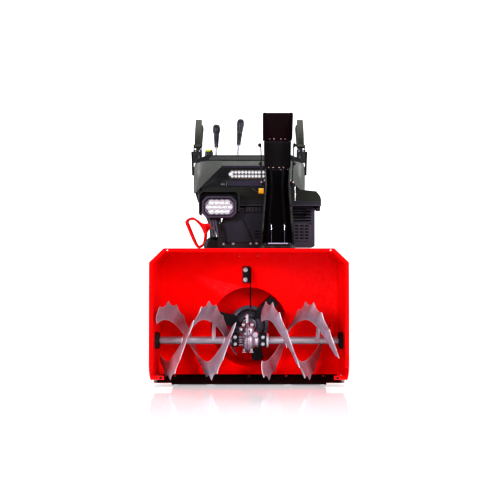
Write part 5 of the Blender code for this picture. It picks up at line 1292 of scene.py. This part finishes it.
def recoil():
    """The red pull handle, the ribbed starter cover and the electric starter."""
    depth = 0.861
    outer = [(-0.3165, 0.677), (-0.308, 0.692), (-0.2916, 0.7005), (-0.274, 0.7015), (-0.252, 0.688),
        (-0.232, 0.673), (-0.21, 0.6715), (-0.199, 0.674), (-0.196, 0.656), (-0.199, 0.64),
        (-0.206, 0.63), (-0.209, 0.6), (-0.2175, 0.571), (-0.237, 0.552), (-0.257, 0.552),
        (-0.2768, 0.581), (-0.3065, 0.65)]
    inner = [(-0.299, 0.68), (-0.29, 0.688), (-0.2818, 0.6886), (-0.267, 0.6846), (-0.2397, 0.655),
        (-0.225, 0.623), (-0.223, 0.6105), (-0.229, 0.576), (-0.242, 0.565), (-0.2546, 0.571),
        (-0.2916, 0.66)]
    outer_line = smooth_ring(outer, depth)
    inner_line = smooth_ring(inner, depth)
    mesh = bmesh.new()
    rings = []
    for share, lift in ((0.0, -0.004), (0.0, 0.004), (0.3, 0.0085), (0.7, 0.0085), (1.0, 0.004),
            (1.0, -0.004), (0.7, -0.0085), (0.3, -0.0085)):
        rings.append([mesh.verts.new(o.lerp(i, share) + Y_AXIS * lift)
            for o, i in zip(outer_line, inner_line)])
    for near, far in zip(rings, rings[1:] + rings[:1]):
        add_band(mesh, near, far)
    add_lathe(mesh, "X", (depth, 0.656), [(0.0, -0.215), (0.013, -0.215), (0.011, -0.182), (0.007, -0.16),
        (0.003, -0.1585), (0.003, 0.06), (0.0, 0.06)], 24)
    as_piece("recoil_handle_skin", mesh, SKINS["red_plastic"], BODY_OF["recoil_handle"],
        node="recoil_handle")
    refine("recoil_housing", 0.0015, 3)
    # The vents are black patches of painted shade standing in for the dark inside the openings.
    vents = bmesh.new()
    for i in range(12):
        turn = 2 * pi * i / 12
        side, up = Vector((cos(turn), 0, sin(turn))), Vector((-sin(turn), 0, cos(turn)))
        centre = point(-0.02, 0.0, 0.625)
        corners = [centre + side * r + up * w
            for r, w in ((0.048, -0.0045), (0.088, -0.007), (0.088, 0.007), (0.048, 0.0045))]
        add_loft(vents, [[corner + Y_AXIS * depth for corner in corners] for depth in (0.8875, 0.8925)])
    as_piece("recoil_vents", vents, DEEP_BLACK, bevel=0.0008, slot="black_plastic")
    motor = bmesh.new()
    profile = [(0.0, 0.56), (0.03, 0.56), (0.036, 0.566), (0.0445, 0.568)]
    for i in range(6):
        low = 0.572 + 0.011 * i
        profile += [(0.0445, low), (0.043, low + 0.001), (0.043, low + 0.004), (0.0445, low + 0.005)]
    profile += [(0.0445, 0.64), (0.04, 0.646), (0.04, 0.69), (0.0, 0.69)]
    add_lathe(motor, "Y", (-0.16, 0.552), profile, 40)
    add_box(motor, -0.15, -0.1105, 0.58, 0.68, 0.5005, 0.56)
    as_piece("starter_motor_skin", motor, SKINS["black_paint"], bevel=0.0006, node="starter_motor")


def wheel(side):
    """A lugged snow tyre on a dished rim with its bolts."""
    label = SIDE_NAMES[side]
    body = "wheel_" + label
    x0, x1, d0, d1, z0, z1 = edges_of("tyre_" + label)
    middle, centre = (x0 + x1) / 2, ((d0 + d1) / 2, (z0 + z1) / 2)
    tread, half = (z1 - z0) / 2, (x1 - x0) / 2
    profile = [(0.098, -0.03), (0.111, -0.041), (0.111, -0.048), (0.125, -0.0565), (0.145, -half),
        (0.17, -half + 0.002), (0.186, -half + 0.008), (tread - 0.01, -half + 0.02),
        (tread - 0.008, -0.02), (tread - 0.007, 0.0)]
    profile += [(r, -x) for r, x in profile[-2::-1]]
    mesh = bmesh.new()
    add_lathe(mesh, "X", centre, [(r, middle + x) for r, x in profile], 96)
    count = 20
    for i in range(count):
        for flank in (LEFT, RIGHT):
            turn = 2 * pi * (i + 0.25 * (flank + 1)) / count
            loops = []
            for share in (0.0, 0.35, 0.7, 1.0):
                x = middle + flank * (0.004 + (half - 0.007) * share)
                low = tread - 0.014 if share < 0.9 else tread - 0.026
                high = tread - (0.0003 if share < 0.6 else 0.002 if share < 0.9 else 0.014)
                bow = turn + 0.1 * share
                ring = []
                for radius, arm in ((low, -1), (high, -0.8), (high, 0.8), (low, 1)):
                    angle = bow + arm * (0.052 + 0.012 * share)
                    ring.append(point(x, centre[0] + radius * sin(angle),
                        centre[1] + radius * cos(angle)))
                loops.append(ring)
            add_loft(mesh, loops)
    as_piece("tyre_" + label + "_skin", mesh, SKINS["tyre_rubber"], body, bevel=0.0008, segments=1,
        angle=40, node="tyre_" + label)
    inner, outer = 0.224, 0.316
    rim_profile = [(0.0, 0.004), (0.0125, 0.004), (0.0125, 0.247), (0.034, 0.25), (0.06, 0.256),
        (0.08, 0.264), (0.092, 0.266), (0.092, inner + 0.012), (0.107, inner), (0.11, inner + 0.002),
        (0.097, inner + 0.014), (0.097, outer - 0.014), (0.11, outer - 0.002), (0.107, outer),
        (0.092, outer - 0.012), (0.092, 0.272), (0.074, 0.273), (0.05, 0.269), (0.034, 0.268),
        (0.034, 0.292), (0.012, 0.3), (0.0, 0.3)]
    rim = bmesh.new()
    add_lathe(rim, "X", centre, [(r, side * x) for r, x in rim_profile], 72)
    as_piece("rim_" + label + "_skin", rim, SKINS["black_paint"], body, bevel=0.0006, node="rim_" + label)
    places = [(side * 0.27, centre[0] + 0.062 * sin(2 * pi * i / 5),
        centre[1] + 0.062 * cos(2 * pi * i / 5)) for i in range(5)]
    bolts("wheel_bolts_" + label, body, places, direction=(side, 0, 0), radius=0.0075, height=0.009,
        washer=0.0105)


intake_trim()
scraper()
gearbox()
strut()
impeller()
chute()
deflectors()
lamp()
belt_guard()
hood()
muffler()
console()
handles()
sticks()
recoil()
for side in (LEFT, RIGHT):
    auger_side(side)
    end_bearing(side)
    hand_controls(side)
    wheel(side)
for name in NODES:
    if name not in DONE:
        refine(name)


# Stage, lights and camera

WARM_WHITE = (1.0, 0.985, 1.0, 1.0)
SKY_LIGHT, SKY_SEEN = 0.55, 1.1


def stage_floor():
    """A flat pale floor that runs out to the horizon."""
    reach, near = 50.0, -8.0
    mesh = bmesh.new()
    mesh.faces.new([mesh.verts.new((x, y, 0.0))
        for x, y in ((-reach, near), (reach, near), (reach, reach), (-reach, reach))])
    floor = new_object("studio_floor", mesh)
    nodes = Nodes("pale_floor")
    clouds = nodes.spread(nodes.noise(0.6, 2.0), 0.0, 1.0)
    nodes.link(nodes.blend(clouds, (0.49, 0.48, 0.5), (0.51, 0.5, 0.52)),
        nodes.shader.inputs["Base Color"])
    for key, value in (("Roughness", 0.07), ("IOR", 1.8), ("Emission Color", WARM_WHITE),
            ("Emission Strength", 0.3)):
        nodes.shader.inputs[key].default_value = value
    floor.data.materials.append(nodes.material)


def soft_light(name, place, target, size, power):
    """A rectangular light aimed at a target."""
    data = bpy.data.lights.new(name, "AREA")
    data.shape = "RECTANGLE"
    data.size, data.size_y = size
    data.energy = power
    light = bpy.data.objects.new(name, data)
    light.location = place
    light.rotation_euler = (Vector(target) - Vector(place)).to_track_quat("-Z", "Y").to_euler()
    bpy.context.scene.collection.objects.link(light)


def studio():
    """An even white surround, brighter to the camera than to the object, and five soft lights."""
    world = bpy.data.worlds.new("studio")
    world.use_nodes = True
    tree = world.node_tree
    background = tree.nodes["Background"]
    background.inputs["Color"].default_value = WARM_WHITE
    seen = tree.nodes.new("ShaderNodeLightPath").outputs["Is Camera Ray"]
    strength = tree.nodes.new("ShaderNodeMapRange")
    strength.inputs["To Min"].default_value = SKY_LIGHT
    strength.inputs["To Max"].default_value = SKY_SEEN
    tree.links.new(seen, strength.inputs["Value"])
    tree.links.new(strength.outputs["Result"], background.inputs["Strength"])
    scene = bpy.context.scene
    scene.world = world
    scene.view_settings.view_transform = "Standard"
    scene.view_settings.look = "High Contrast"
    soft_light("left_front_light", (-2.4, -4.2, 1.5), (0, 0, 0.4), (1.3, 1.3), 84)
    soft_light("right_front_light", (2.4, -4.2, 1.5), (0, 0, 0.4), (1.3, 1.3), 84)
    soft_light("top_light", (0, 0.4, 3.6), (0, 0, 0.4), (2.6, 2.2), 45)
    soft_light("left_edge_light", (-3.0, 0.6, 1.4), (0, 0, 0.6), (1.0, 2.4), 45)
    soft_light("right_edge_light", (3.0, 0.8, 1.4), (0, 0, 0.6), (1.0, 2.4), 45)


def camera():
    """Straight at the intake from in front, level with its upper part and tipped up a little."""
    distance, aside, height, pitch = 2.5, 0.0037, 0.482, 91.0
    data = bpy.data.cameras.new("camera")
    data.sensor_width = 36.0
    data.lens = 48.96
    data.clip_end = 60.0
    view = bpy.data.objects.new("camera", data)
    view.location = point(aside, -distance, height)
    view.rotation_euler = (radians(pitch), 0, 0)
    bpy.context.scene.collection.objects.link(view)
    bpy.context.scene.camera = view


stage_floor()
studio()
camera()
